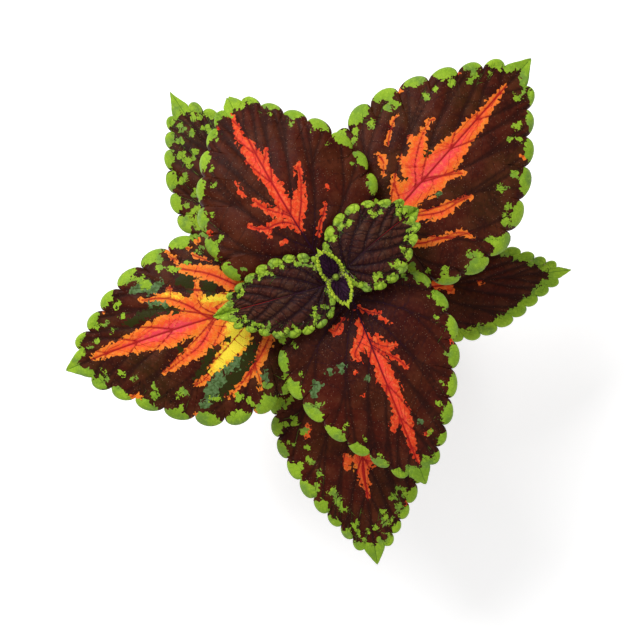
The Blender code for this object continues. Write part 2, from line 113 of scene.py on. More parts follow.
def painted(tree, colour, *coats):
    """Lays coats over a colour: value, its low and high, the coat's share there unless 0 and 1, colour."""
    colour = linear(colour) if isinstance(colour, str) else colour
    for value, low, high, *shares, over in coats:
        least, most = shares or (0.0, 1.0)
        share = node(tree, "ShaderNodeMapRange", {0: value, 1: low, 2: high, 3: least, 4: most})
        over = linear(over) if isinstance(over, str) else over
        colour = node(tree, "ShaderNodeMix", {0: share, 6: colour, 7: over}, data_type="RGBA").outputs[2]
    return colour


def finish_material(material, sockets, relief=None, height=0.0, strength=1.0):
    """Sets the shader's sockets, with a bump where the relief has a height."""
    tree = material.node_tree
    if height:
        sockets["Normal"] = node(tree, "ShaderNodeBump",
                                 {"Height": relief, "Strength": strength, "Distance": height})
    fill(tree, tree.nodes["Principled BSDF"], sockets)
    return material


def new_tree(name, **inputs):
    """A Geometry Nodes tree with these named inputs, and the outputs of its first node."""
    tree = bpy.data.node_groups.new(name, "GeometryNodeTree")
    for label, kind in {"Geometry": "Geometry", **inputs, "Material": "Material"}.items():
        tree.interface.new_socket(label, in_out="INPUT", socket_type="NodeSocket" + kind)
    tree.interface.new_socket("Geometry", in_out="OUTPUT", socket_type="NodeSocketGeometry")
    return tree, node(tree, "NodeGroupInput").outputs


def close_tree(tree, given, shape):
    """Ends a tree: makes copies real and gives all the material."""
    real = node(tree, "GeometryNodeRealizeInstances", {0: shape})
    coloured = node(tree, "GeometryNodeSetMaterial", {0: real, "Material": given["Material"]})
    node(tree, "NodeGroupOutput", {0: coloured})
    return tree


def new_piece(name, points, faces, material=None, edges=()):
    """A smooth-shaded object at the origin."""
    mesh = bpy.data.meshes.new(name)
    mesh.from_pydata([tuple(p) for p in points], list(edges), [tuple(f) for f in faces])
    mesh.shade_smooth()
    made = bpy.data.objects.new(name, mesh)
    bpy.context.scene.collection.objects.link(made)
    if material:
        mesh.materials.append(material)
    return made


def apply_modifiers(piece):
    """Turns what the piece's modifiers make into its plain mesh."""
    graph = bpy.context.evaluated_depsgraph_get()
    made = bpy.data.meshes.new_from_object(piece.evaluated_get(graph))
    piece.modifiers.clear()
    piece.data = made
    return piece


def apply_tree(piece, tree, **values):
    """Runs a Geometry Nodes tree on the piece with these named inputs."""
    modifier = piece.modifiers.new(tree.name, "NODES")
    modifier.node_group = tree
    for item in tree.interface.items_tree:
        if item.in_out == "INPUT" and item.name in values:
            modifier[item.identifier] = values[item.name]
    return apply_modifiers(piece)


def finish_piece(piece, slot, *nodes):
    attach(piece, "root")
    if nodes:
        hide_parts(*nodes)


def turned(name, profile, sides, material=None):
    """A solid of revolution; the profile runs from the axis round the outside and back to the axis."""
    turn = 2 * math.pi * np.arange(sides) / sides
    points, rows = [], []
    for radius, height in profile:
        ring = range(len(points), len(points) + (sides if radius > 0 else 1))
        rows.append(list(ring) if radius > 0 else list(ring) * sides)
        points += [(radius * math.cos(a), radius * math.sin(a), height) for a in turn[:len(ring)]]
    faces = []
    for low, high in zip(rows, rows[1:]):
        for k in range(sides):
            after = (k + 1) % sides
            faces.append(tuple(dict.fromkeys([low[k], low[after], high[after], high[k]])))
    return new_piece(name, points, faces, material)


def moulded_plastic():
    """Black polypropylene: satin, with a fine moulded grain and a little dust near the foot."""
    material, tree = plain_material("moulded_polypropylene")
    place = node(tree, "ShaderNodeTexCoord").outputs["Object"]
    grain, marks = (
        node(tree, "ShaderNodeTexNoise", {"Vector": place, "Scale": 1 / (size * MM), "Detail": detail})
        for size, detail in ((0.5, 2.0), (18.0, 6.0)))
    height = node(tree, "ShaderNodeSeparateXYZ", {0: place}).outputs["Z"]
    low = node(tree, "ShaderNodeMapRange", {0: height, 1: 0.0, 2: 0.035, 3: 0.5, 4: 0.0})
    dust = node(tree, "ShaderNodeMath", {0: low, 1: marks}, operation="MULTIPLY")
    colour = painted(tree, "#232325", (dust, 0.0, 1.0, "#6b6158"))
    rough = node(tree, "ShaderNodeMapRange", {0: marks, 1: 0.3, 2: 0.7, 3: 0.42, 4: 0.6})
    return finish_material(material, {"Base Color": colour, "Roughness": rough, "IOR": 1.49},
                           grain, 0.1 * MM, 0.25)


def rib_tree():
    """Repeats one moulded rib round the pot."""
    tree, given = new_tree("pot_ribs", Count="Int", Radius="Float")
    ring = node(tree, "GeometryNodeCurvePrimitiveCircle",
                {"Resolution": given["Count"], "Radius": given["Radius"]})
    tangent = node(tree, "GeometryNodeInputTangent")
    facing = node(tree, "FunctionNodeAlignRotationToVector", {"Vector": tangent}, axis="Y")
    copies = node(tree, "GeometryNodeInstanceOnPoints",
                  {"Points": ring, "Instance": given["Geometry"], "Rotation": facing})
    return close_tree(tree, given, copies)


def pot():
    plastic = moulded_plastic()
    under_rim = POT_HEIGHT - POT_RIM_DEPTH
    inner_rim = POT_RIM - 2 * POT_WALL
    slope = (POT_SHOULDER - POT_FOOT) / under_rim

    def wall(height):
        return POT_FOOT + slope * height

    profile = [(0.0, 0.0006), (POT_FOOT - 0.0040, 0.0006), (POT_FOOT - 0.0034, 0.0), (POT_FOOT - 0.0010, 0.0),
               (POT_FOOT - 0.0003, 0.0003), (wall(0.001), 0.001)]
    for band in POT_BAND_HEIGHTS:
        profile += [(wall(band - 0.0008), band - 0.0008), (wall(band) + POT_BAND, band - 0.0003),
                    (wall(band) + POT_BAND, band + 0.0003), (wall(band + 0.0008), band + 0.0008)]
    profile += [(wall(0.05), 0.05), (wall(under_rim - 0.0012), under_rim - 0.0012),
                (POT_RIM - 0.0018, under_rim - 0.0004), (POT_RIM - 0.0013, under_rim),
                (POT_RIM - 0.0011, under_rim + 0.0006), (POT_RIM - 0.0007, POT_HEIGHT - 0.0032)]
    bead = POT_BEAD
    for step in range(9):
        angle = math.radians(-70 + 32 * step)
        climb = 2 * bead * min(step, 4) / 4
        profile.append((POT_RIM - bead + bead * math.cos(angle),
                        POT_HEIGHT - 3 * bead + bead * math.sin(angle) + climb))
    profile += [(inner_rim, POT_HEIGHT - 0.0025), (inner_rim - 0.0002, under_rim + 0.0005),
                (POT_SHOULDER - POT_WALL, under_rim - 0.0015), (wall(POT_FLOOR) - POT_WALL, POT_FLOOR),
                (0.0, POT_FLOOR)]
    body = turned("pot_shell", profile, POT_SIDES, plastic)
    drills = []
    for k in range(DRAIN_HOLES):
        turn = 2 * math.pi * (k + 0.5) / DRAIN_HOLES
        drill = turned("drill", [(0.0, -POT_FLOOR), (DRAIN_RADIUS, -POT_FLOOR),
                                 (DRAIN_RADIUS, 2 * POT_FLOOR), (0.0, 2 * POT_FLOOR)], DRAIN_SIDES)
        drill.location = (DRAIN_RING * math.cos(turn), DRAIN_RING * math.sin(turn), 0.0)
        drills.append(drill)
        cut = body.modifiers.new("drain", "BOOLEAN")
        cut.operation = "DIFFERENCE"
        cut.solver = "EXACT"
        cut.object = drill
    bpy.context.view_layer.update()
    apply_modifiers(body)
    for drill in drills:
        bpy.data.objects.remove(drill, do_unlink=True)
    body.data.set_sharp_from_angle(angle=math.radians(POT_SHARP))
    finish_piece(body, "pot", "pot")

    top = POT_HEIGHT - POT_RIM_DEPTH - 0.001
    rings = []
    for share, size in ((0.0, 0.3), (0.06, 0.9), (0.15, 1.0), (0.85, 1.0), (0.94, 0.9), (1.0, 0.3)):
        height = top - POT_RIB_LENGTH * (1 - share)
        lean = slope * (height - top)
        half = POT_RIB_WIDTH / 2
        out = lean + POT_RIB_DEPTH * size
        outline = ((lean - POT_RIB_ROOT, -half), (out - POT_RIB_EDGE, -half), (out, -half / 2),
                   (out, half / 2), (out - POT_RIB_EDGE, half), (lean - POT_RIB_ROOT, half))
        rings.append([(away, across, height) for away, across in outline])
    points = [p for ring in rings for p in ring]
    faces = [tuple(range(6))[::-1], tuple(range(30, 36))]
    for row in range(5):
        for k in range(6):
            low, after = row * 6 + k, row * 6 + (k + 1) % 6
            faces.append((low, after, after + 6, low + 6))
    rib = new_piece("pot_ribs", points, faces)
    apply_tree(rib, rib_tree(), Count=POT_RIBS, Radius=wall(top), Material=plastic)
    finish_piece(rib, "pot", "pot")


pot()


# Potting mix: peat and coir with composted bark chips and white perlite, filled to a finger below the rim.
# The root ball keeps its own shape; the loose crumbs lie on its top.

CRUMB_SIZE = 2.6 * MM
CRUMB_DENSITY = 190000.0  # crumbs a square metre
PERLITE_DENSITY = 14000.0
PERLITE_SIZE = 1.8 * MM
SOIL_SEED = 4
STEM_CLEARANCE = 0.0070
FULL_TURN = 6.283  # radians


def potting_mix():
    """Moist peat: nearly black brown, matt, with paler fibres and specks of sand."""
    material, tree = plain_material("peat_and_bark")
    place = node(tree, "ShaderNodeTexCoord").outputs["Object"]
    clods = node(tree, "ShaderNodeTexNoise", {"Vector": place, "Scale": 1 / (3 * MM), "Detail": 8.0})
    tone = node(tree, "ShaderNodeAttribute", attribute_name="tone").outputs["Fac"]
    mixed = node(tree, "ShaderNodeMath", {0: clods, 1: tone}, operation="ADD")
    colour = painted(tree, "#20150f", (mixed, 0.35, 1.3, "#6b4a33"))
    return finish_material(material, {"Base Color": colour, "Roughness": 0.95}, clods, 0.8 * MM, 0.9)


def perlite():
    """Expanded volcanic glass: chalk white, matt, pitted, with painted shade in its pits."""
    material, tree = plain_material("perlite")
    place = node(tree, "ShaderNodeTexCoord").outputs["Object"]
    pits = node(tree, "ShaderNodeTexVoronoi", {"Vector": place, "Scale": 1 / (0.5 * MM)})
    # Greyer towards each pit's middle, where the bump is lowest: painted shade in the pits.
    colour = painted(tree, "#a9a294", (pits, 0.0, 1.0, "#f1eee6"))
    return finish_material(material, {"Base Color": colour, "Roughness": 0.9}, pits, 0.2 * MM)


def scatter_tree(name, squash):
    """Strews lumps of random size and turn over a surface and gives each its own tone."""
    tree, given = new_tree(name, Density="Float", Size="Float", Seed="Int")
    spots = node(tree, "GeometryNodeDistributePointsOnFaces",
                 {"Mesh": given["Geometry"], "Density": given["Density"], "Seed": given["Seed"]})
    ball = node(tree, "GeometryNodeMeshIcoSphere", {"Radius": 0.5, "Subdivisions": 2})
    place = node(tree, "GeometryNodeInputPosition")
    lumps = node(tree, "ShaderNodeTexNoise", {"Vector": place, "Scale": 2.6, "Detail": 1.0})
    grown = node(tree, "ShaderNodeMapRange", {0: lumps, 1: 0.25, 2: 0.75, 3: 0.45, 4: 1.3})
    shaped = node(tree, "ShaderNodeVectorMath", {0: place, "Scale": grown}, operation="SCALE")
    lump = node(tree, "GeometryNodeSetPosition", {"Geometry": ball, "Position": shaped})
    turn, spread = (node(tree, "FunctionNodeRandomValue", {0: least, 1: most}, data_type="FLOAT_VECTOR")
                    for least, most in (((0.0, 0.0, 0.0), (FULL_TURN, FULL_TURN, FULL_TURN)),
                                        ((0.35, 0.35, 0.35 * squash), (1.3, 1.3, squash))))
    size = node(tree, "ShaderNodeVectorMath", {0: spread, "Scale": given["Size"]}, operation="SCALE")
    copies = node(tree, "GeometryNodeInstanceOnPoints",
                  {"Points": spots, "Instance": lump, "Rotation": turn, "Scale": size})
    shade = node(tree, "FunctionNodeRandomValue", {2: 0.0, 3: 0.7}, data_type="FLOAT").outputs[1]
    toned = node(tree, "GeometryNodeStoreNamedAttribute",
                 {"Geometry": copies, "Name": "tone", "Value": shade}, domain="INSTANCE")
    return close_tree(tree, given, toned)


def soil():
    mix = potting_mix()
    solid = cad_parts["soil"]
    for slot in solid.material_slots:
        slot.material = mix
    mesh = solid.data
    top = [p for p in mesh.polygons if p.normal.z > 0.5
           and math.hypot(p.center.x, p.center.y) > STEM_CLEARANCE and p.center.z > POT_HEIGHT / 2]
    for name, density, size, squash, material, seed in (
            ("soil_crumbs", CRUMB_DENSITY, CRUMB_SIZE, 0.9, mix, SOIL_SEED),
            ("soil_perlite", PERLITE_DENSITY, PERLITE_SIZE, 1.2, perlite(), SOIL_SEED + 1)):
        used = sorted({v for p in top for v in p.vertices})
        number = {v: k for k, v in enumerate(used)}
        crumbs = new_piece(name, [mesh.vertices[v].co for v in used],
                           [[number[v] for v in p.vertices] for p in top])
        apply_tree(crumbs, scatter_tree(name, squash),
                   Density=density, Size=size, Seed=seed, Material=material)
        crumbs.data.shade_smooth()
        finish_piece(crumbs, "potting_mix")


soil()


# Leaves: opposite, in crossed pairs. A blade is a thin sheet with rounded teeth, pushed up between its veins.
# It grows from a round stalk that runs on under it as the midrib. This is the same rule as in the solids.

VEIN_SPREAD = 2.1  # how much closer together the mesh rows start near the base
VEIN_BEND = 1.2  # how much each row bends towards the tip
MARGIN_START = 0.07  # share of the half outline below the first tooth
FIRST_TEETH = 1.8  # teeth over which they grow to their full height
CROWDING = 0.25  # how much smaller the first and last teeth are
TOOTH_LEAN = 0.35  # forward lean of a tooth as a share of its height
RIGHT_HALF_PHASE = 1.7  # of the margin's waves against the left half, radians
DROOP_SHAPE = 1.3  # above 1, the midrib bends more towards the tip
BASE_CORNER = 0.35  # fullness of the two lobes beside the stalk
LOBE_REACH = 0.55  # how far back the lobes stay wide, as a share of the notch
TIP_SHOULDER = 0.80  # where the outline turns in to the point
OUTLINE_STEPS = 240
LOBE_FULLNESS = 1.95  # 2 is half an ellipse
NOTCH = 0.36  # depth of a notch inside the smooth outline, as a share of a tooth
TIP_SHOULDER_SHARE = 0.25  # share of the tip over which its margin rises out of the last notch
MIDRIB_STEPS = 100

CURL_FROM = 0.84  # share of the way out from which the teeth puff up and turn down
TOOTH_STEPS = 12  # mesh rows to a tooth
TIP_STEPS = 12
HALF_COLUMNS = 36
MARGIN_THINNING = 0.45  # share of its thickness that the blade loses at the margin
THIN_FROM = 0.85  # share of the way out from which it thins
RELIEF_FADE = 0.12  # shares of the way out over which the relief dies away at the margin
QUILT_FADE = 0.04
INNER_QUILT = 0.25  # strength of the quilting far from the margin
RIM_ROUND = 0.20 * MM
GROOVE_DEPTH = 0.28 * MM
GROOVE_WIDTH = 1.3  # millimetres
PILLOW_REACH = 4.0  # millimetres from a vein at which the blade has risen fully
LEAF_SPACING = 200.0  # millimetres between the leaves in the pattern that they share
SIDE_VEINS = (  # where a side vein leaves the midrib, and the share of the teeth below its end
    (0.0, 0.22),
    (0.0, 0.48),
    (0.035, 0.70),
    (0.24, 0.82),
    (0.43, 0.90),
    (0.60, 0.96),
    (0.76, 1.0),
)
MIDRIB_RADIUS = (1.05, 0.32)  # millimetres, in a leaf of the full length
SIDE_RADIUS = 0.50
MIDRIB_END = 0.985  # shares of their length at which the raised veins end
SIDE_VEIN_END = 0.97
FORK_END = 0.95
FULL_LENGTH = 0.148
FORKS = (  # share of a side vein at a fork, and how far it aims at the next vein or, below 0, at the last
    (0.45, 0.45),
    (0.62, -0.33),
)
TONGUE_ROOT = 14.0  # a flame's tongue that starts nearer the midrib than this has a vein from it, millimetres
TONGUE_BACK = 2.0  # how far nearer the base than the tongue its vein starts, millimetres
TONGUE_ROUNDINGS = 3  # times that the corners of its vein are cut off
SIDE_SIGNS = ((1.0, 1.0), (1.0, -1.0))  # of flat places on the left and the right half
VEIN_SAMPLES = 60
FAR_OUTSIDE = -60.0  # depth inside a stroke where there is none, millimetres
FIELD_STEP = 0.2  # over which a field's slope is measured, millimetres
RUNG_FROM = 0.15  # share of a side vein below its first rung
RUNG_AHEAD = 0.06  # how much further out a rung ends than straight across
RUNG_KINK = 0.17
RUNG_RADIUS = 0.15
VEIN_SINK = 0.62  # depth of a vein's middle under the blade's upper side, as a share of its radius
VEIN_TAPER = 0.7  # below 1, a vein thins early on its way out
VEIN_SIDES = 6
RUNG_GROOVE = 0.55  # depth and width of its groove against a side vein's
TIP_FOLD_FROM = 0.70  # share of the length beyond which a young leaf's point folds up
VEIN_START_BEND = (0.35, 0.60)  # the middle handle of a side vein, as shares of its run and its reach


@dataclass(frozen=True)
class Leaf:
    """One leaf. Pairs of values are (left, right) seen from above, looking from the base to the tip."""

    name: str
    node: float  # height of its node on the stem
    face: float  # azimuth of the stem face it grows from, degrees
    base: tuple  # where the stalk meets the blade
    heading: float  # azimuth of the midrib at the base, degrees
    length: float
    half_width: tuple  # with the teeth
    pitch: tuple  # slope of the midrib at the base and at the tip, degrees
    teeth: int  # on each half
    tooth: float  # height of a tooth
    tip: float  # share of the half outline that the plain point takes
    widest: float  # where the blade is widest, as a share of its length
    shoulder: float  # how far the width holds on towards the tip
    point: tuple  # fullness near the tip
    heart: float  # depth of the notched base
    sweep: float = 0.0  # turn of the midrib to the left on its way to the tip, degrees
    fold: float = 0.08  # rise of each half beside the midrib
    cup: float = 0.22  # fall of the margins
    wave: float = 0.0022  # height of the waves along the margin
    waves: float = 3.0
    thickness: float = 0.0006
    curl: tuple = (0.0010, 0.0010)  # how far the outer teeth turn down
    pillow: float = 0.0006  # rise of the blade between side veins
    quilt: float = 0.0002  # rise of the areoles, the small fields inside the net of veins
    areole: float = 3.0  # their size, millimetres
    dark_base: float = 0.12  # share of the length over which the veins fade from purple-black
    flame: tuple = ()  # strokes of orange and red
    gold: tuple = ()  # yellow strokes on the flame
    moss: tuple = ()  # dark olive strokes that break it up
    sage: tuple = ()  # pale grey-green strokes
    band: float = 3.1  # half width of a green tooth for a tooth 13 wide, millimetres
    islands: tuple = (0.8, 1.1, 3.0)  # green islands to a tooth, their half width and how far in, millimetres
    green_tip: float = 1.0  # share of the length beyond which all is green
    sinus: float = 0.12  # share of notches with a red spot
    puff: float = 0.0009  # rise of a tooth's middle
    heat: float = 0.0  # how red the flame is, against orange
    groove: float = 1.0  # depth of the grooves over the veins, against a mature leaf
    grain: float = 1.0  # how much finer its pattern is than a mature leaf's
    point_band: float = 1.0  # width of the green along the point against the other teeth
    rung: float = 7.0  # distance between the fine veins that join the side veins, millimetres
    blush: float = 0.0  # how red the outer part of its midrib is
    tip_fold: float = 0.0  # extra rise of both halves beside the midrib near the tip
    rim: float = 0.0  # half width of an unbroken green margin, millimetres
    fineness: float = 1.0  # of its mesh
    seed: int = 0


STEM_TURN = 35.0  # azimuth of the stem's first face, degrees; the leaves stand on all four
RIGHT = STEM_TURN
BACK = STEM_TURN + 90.0
LEFT = STEM_TURN + 180.0
FRONT = STEM_TURN + 270.0
BOTTOM_NODE = 0.1340  # heights of the stem's nodes and top
LOWER_NODE = 0.1640
MIDDLE_NODE = 0.1960
UPPER_NODE = 0.2260
SMALL_NODE = 0.2480
STEM_TOP = 0.2570


def drawn(text):
    """Strokes, parted by /, of spots: along and left of the midrib, half width, in millimetres."""
    return tuple(tuple(tuple(map(float, spot.split())) for spot in stroke.split(","))
                 for stroke in text.split("/"))


YOUNG = dict(pillow=0.0011, quilt=0.0006, areole=5.2, band=4.5, islands=(1.4, 1.8, 0.6), sinus=0.0,
             dark_base=0.5, puff=0.0012, groove=1.7, grain=1.3, rung=3.6, blush=0.7, tip_fold=0.9,
             fineness=1.25)
LEAVES = (
    Leaf("small_leaf_right", SMALL_NODE, RIGHT, base=(0.0061, 0.0051, 0.2640), heading=45.0, length=0.062,
         half_width=(0.0278, 0.0266), pitch=(12.0, -38.0), teeth=8, tooth=0.0027, tip=0.13, widest=0.34,
         shoulder=0.30, point=(0.10, 0.10), heart=0.10, sweep=-10.0, fold=0.10, cup=0.28, wave=0.0012,
         waves=4.0, green_tip=0.80, seed=1, **YOUNG),
    Leaf("small_leaf_left", SMALL_NODE, LEFT, base=(-0.0067, -0.0053, 0.2640), heading=195.0, length=0.075,
         half_width=(0.0260, 0.0248), pitch=(2.0, -28.0), teeth=9, tooth=0.0028, tip=0.17, widest=0.30,
         shoulder=0.30, point=(0.08, 0.08), heart=0.08, fold=0.12, cup=0.30, wave=0.0012, waves=4.0,
         green_tip=0.74, seed=2, **YOUNG),
    Leaf("upper_leaf_back", UPPER_NODE, BACK, base=(-0.0122, 0.0149, 0.2500), heading=124.0, length=0.121,
         half_width=(0.0560, 0.0592), pitch=(10.0, -35.0), teeth=10, tooth=0.0044, tip=0.06, widest=0.30,
         shoulder=0.28, point=(0.15, 0.18), heart=0.16, sweep=-10.0, fold=0.10, cup=0.26, seed=3,
         curl=(0.0035, 0.0012), dark_base=0.34, heat=1.0, point_band=1.7,
         flame=drawn("""
             17 0 1.9, 25 0 3.8, 33 -1 4.1, 42 0 4.8, 51 0 5.1, 62 1 5.4, 71 2 5.1, 79 2 4.4, 87 4 3.2,
             95 3 1.9, 103 3 1.9, 107 2 1 / 64 0 2.5, 68 -4 2.5, 72 -7 1.3 / 24 -3 3.2, 31 -9 3.2,
             38 -13 2.5, 43 -16 1.9, 49 -18 2.5, 53 -19 1.9 / 31 -4 2.5, 39 -10 1.9 / 29 1 3.8, 33 5 3.8,
             38 10 2.5, 43 13 1.9, 48 15 1.6 / 56 20 1.6, 53 19 1 / 62 19 0.8, 59 19 0.8 / 21 0 3.2,
             27 5 2.5, 29 11 2.2, 29 17 2.2, 31 21 1.6, 36 25 1 / 29 17 1.3, 24 18 1 / 17 12 1.9,
             17 15 1.3 / 10 -8 1.3, 15 -13 1.3, 20 -19 1.4, 23 -22 1 / 32 -28 1""")),
    Leaf("upper_leaf_front", UPPER_NODE, FRONT, base=(0.0101, -0.0124, 0.2500), heading=292.0, length=0.135,
         half_width=(0.0553, 0.0585), pitch=(8.0, -37.0), teeth=10, tooth=0.0044, tip=0.08, widest=0.24,
         shoulder=0.26, point=(0.12, 0.15), heart=0.14, fold=0.10, cup=0.26, seed=4,
         dark_base=0.50, heat=1.0, green_tip=0.95, point_band=1.7, islands=(1.1, 1.2, 4.0),
         flame=drawn("""
             15 -2 1.9, 22 -2 2.5, 29 -2 3.8, 38 1 4.8, 47 1 5.1, 54 1 5.7, 62 2 5.1, 70 2 3.8, 79 2 5.1,
             88 2 3.8, 98 1 2.9, 106 0 1.9, 116 1 1 / 24 -2 3.8, 28 -6 3.8, 31 -10 3.2, 34 -12 2.2,
             38 -10 1 / 43 -15 1.3 / 28 2 1.9, 29 8 1.3 / 33 4 2.5, 36 9 2.9, 37 13 1.9 / 39 6 1.6,
             44 11 1.6, 49 14 1.6, 52 15 1.1 / 7 1 1.6, 12 6 1.3, 16 13 1 / 17 11 0.8, 25 18 0.8 / 10 -9 1,
             13 -14 1.9, 16 -17 2.5, 14 -19 1.6 / 81 -3 3.2, 86 -7 1.9 / 59 -16 1.4 / 97 11 1.6, 96 14 1"""),
         sage=drawn("37 -29 1.9 / 37 -22 2.9 / 43 -40 3.2, 47 -44 1.9 / 88 11 1.9 / 49 -10 2.2")),
    Leaf("middle_leaf_right", MIDDLE_NODE, RIGHT, base=(0.0308, 0.0347, 0.2320), heading=48.5, length=0.148,
         half_width=(0.0630, 0.0690), pitch=(7.0, -23.0), teeth=10, tooth=0.0050, tip=0.09, widest=0.27,
         shoulder=0.25, point=(0.12, 0.10), heart=0.16, seed=5,
         curl=(0.0012, 0.0022), islands=(2.2, 1.7, 6.0), green_tip=0.93, point_band=1.25, heat=0.25,
         flame=drawn("""
             16 -1 3.2, 24 0 8.3, 35 -1 10.2, 45 -1 11.4, 57 -1 9.5, 66 -2 8.3, 76 -1 6.3, 86 -1 5.7,
             95 -1 3.8, 105 0 3.2, 114 0 1.9, 118 1 1.3 / 34 3 7.6, 40 10 7.6, 49 15 5.7, 55 18 4.4,
             61 20 1.9, 68 22 1.6, 71 20 1.3 / 37 15 3.2, 39 20 1.6 / 50 19 2.5, 53 24 1.6 / 18 2 5.7,
             22 10 3.5, 26 14 2.2, 28 16 1.3 / 30 32 1.3, 30 28 3.2, 28 25 1.9, 23 21 1 / 39 31 1,
             43 34 1.3, 49 37 1, 54 39 1.4, 57 39 1 / 45 -5 5.1, 50 -10 3.8, 54 -13 2.9, 57 -16 1.9 /
             41 -10 3.8 / 17 -11 2.5, 23 -17 3.8, 29 -22 4.4, 35 -24 3.8, 39 -25 2.5, 45 -27 1.6,
             49 -30 1.3 / 15 -14 2.5 / 4 -23 2.5, 8 -27 2.5, 13 -30 2.9, 18 -34 2.5, 25 -37 1.9,
             30 -41 1.9, 31 -48 1.3 / 91 -38 1.9 / 79 -51 2.2 / 60 -60 1.9 / 17 -60 1.9"""),
         sage=drawn("37 -14 1.3"),
         moss=drawn("51 9 1.6 / 30 8 1")),
    Leaf("middle_leaf_left", MIDDLE_NODE, LEFT, base=(-0.0426, -0.0146, 0.2310), heading=194.5, length=0.146,
         half_width=(0.0705, 0.0560), pitch=(5.0, -30.0), teeth=10, tooth=0.0050, tip=0.09, widest=0.28,
         shoulder=0.26, point=(0.12, 0.15), heart=0.16, sweep=8.0, seed=6,
         islands=(2.7, 1.6, 11.0), green_tip=0.93, point_band=1.25,
         flame=drawn("""
             39 -1 3.8, 50 0 7.6, 58 -1 10.2, 68 0 10.2, 79 0 8.9, 88 0 7, 96 0 5.7, 106 -1 4.4,
             113 -1 3.2, 122 -1 1.3 / 37 3 3.8, 43 10 6.3, 51 16 5.7, 61 19 4.4, 72 23 2.5, 78 24 1.3 /
             47 32 3.2, 55 37 2.5, 61 38 1.3 / 5 22 3.8, 12 30 3.8, 17 35 3.8, 22 38 3.8, 28 44 2.5,
             36 48 1.9, 42 51 1.6 / 19 35 3.2, 18 45 1.9, 20 53 1 / 41 -2 3.8, 47 -10 5.7, 54 -16 4.4,
             60 -20 3.8, 66 -22 2.5, 72 -23 1.6, 76 -24 1 / 58 -20 2.5, 57 -24 1.9, 57 -27 1 / 42 -8 3.8,
             42 -16 3.2, 41 -25 2.5 / 16 -15 5.1, 23 -21 5.1, 29 -26 5.1, 36 -30 4.4, 42 -33 3.2,
             48 -36 2.2 / 28 3 4, 36 12 4, 41 17 2.5 / 35 -6 5.1, 26 -7 5.1, 19 -8 3.2 / 52 -46 1,
             50 -43 1.3, 49 -40 1.3 / 38 -42 1, 34 -39 1.3, 29 -35 0.8 / 39 -47 1.9 / 100 34 2.5,
             105 31 1.9 / 69 56 1.9, 65 59 1.9 / 26 67 2.5, 19 66 2.5"""),
         gold=drawn("""
             23 11 8.9, 25 18 8.3, 32 24 6.3, 39 29 5.1, 47 32 3.2 / 39 -12 2.5, 33 -11 3.2, 28 -10 3.8,
             22 -8 3.2 / 52 -18 1.9, 60 -23 1.9 / 66 -19 1.3"""),
         moss=drawn("""
             50 -29 3.2, 46 -27 4.4, 45 -21 2.5 / 35 -21 2.5, 33 -19 3.8, 33 -15 2.5 / 55 -10 1.6,
             64 -14 2.5, 73 -16 3.2, 81 -14 2.5, 90 -13 2.5 / 16 24 2.5, 22 31 4.4, 30 37 5.1, 40 44 3.8,
             52 51 1.9 / 43 20 2.5, 50 28 2.5, 58 33 1.9 / 63 13 2.5 / 54 9 1 / 32 16 1.9"""),
         sage=drawn("""
             79 -32 2.5, 74 -32 3.2, 69 -29 3.8, 62 -30 2.5 / 72 -20 1.6, 66 -18 1.9, 62 -16 1.3 /
             41 36 3.2, 49 42 3.8, 53 46 3.8, 60 51 2.5 / 27 29 1.9, 31 32 3.2, 37 34 2.5 / 15 42 1.9,
             14 47 2.5""")),
    Leaf("lower_leaf_back", LOWER_NODE, BACK, base=(-0.0381, 0.0202, 0.1950), heading=124.0, length=0.133,
         half_width=(0.0455, 0.0410), pitch=(4.0, -21.0), teeth=11, tooth=0.0036, tip=0.10, widest=0.34,
         shoulder=0.28, point=(0.11, 0.04), heart=0.14, seed=7,
         band=4.6, islands=(3.2, 2.0, 11.0), green_tip=0.84, sinus=0.0),
    Leaf("lower_leaf_front", LOWER_NODE, FRONT, base=(0.0114, -0.0537, 0.1950), heading=275.5, length=0.148,
         half_width=(0.0542, 0.0582), pitch=(0.0, -30.0), teeth=13, tooth=0.0036, tip=0.08, widest=0.26,
         shoulder=0.24, point=(0.13, 0.11), heart=0.14, sweep=4.0, seed=8,
         band=3.9, islands=(3.2, 1.7, 11.0), green_tip=0.90, point_band=1.3, heat=0.7,
         flame=drawn("""
             64 -10 3.2, 70 -11 1.9 / 65 -3 4.4, 67 3 5.7, 68 6 3.2 / 71 -1 5.1, 79 -1 3.2, 86 0 1.9,
             93 0 1 / 53 4 5.1, 63 1 5.7 / 40 -33 1.9, 46 -35 1.9"""),
         gold=drawn("71 -6 1.2")),
    Leaf("bottom_leaf_right", BOTTOM_NODE, RIGHT, base=(0.0531, -0.0049, 0.1660), heading=7.0, length=0.114,
         half_width=(0.0302, 0.0402), pitch=(6.0, -19.0), teeth=12, tooth=0.0030, tip=0.08, widest=0.32,
         shoulder=0.24, point=(0.10, 0.11), heart=0.12, seed=9,
         band=4.6, rim=3.9, islands=(1.2, 1.2, 2.0), green_tip=0.86, sinus=0.0, heat=0.6,
         flame=drawn("17 1 3.2, 23 1 3.8, 26 -4 2.5 / 47 -1 1.3")),
    Leaf("bottom_leaf_left", BOTTOM_NODE, LEFT, base=(-0.0493, -0.0124, 0.1660), heading=194.5, length=0.113,
         half_width=(0.0359, 0.0359), pitch=(2.0, -28.0), teeth=12, tooth=0.0030, tip=0.10, widest=0.32,
         shoulder=0.24, point=(0.12, 0.12), heart=0.12, seed=10,
         band=4.0, rim=3.0, islands=(1.2, 1.2, 2.0), sinus=0.0,
         flame=drawn("14 0 3, 26 1 4, 38 0 1 / 18 5 2, 26 10 1")),
)


def bezier(points, share):
    """A quadratic or cubic curve through the first and the last of `points`."""
    stages = [np.tile(np.asarray(p, float), (len(share), 1)) for p in points]
    while len(stages) > 1:
        stages = [a + (b - a) * share[:, None] for a, b in zip(stages, stages[1:])]
    return stages[0]


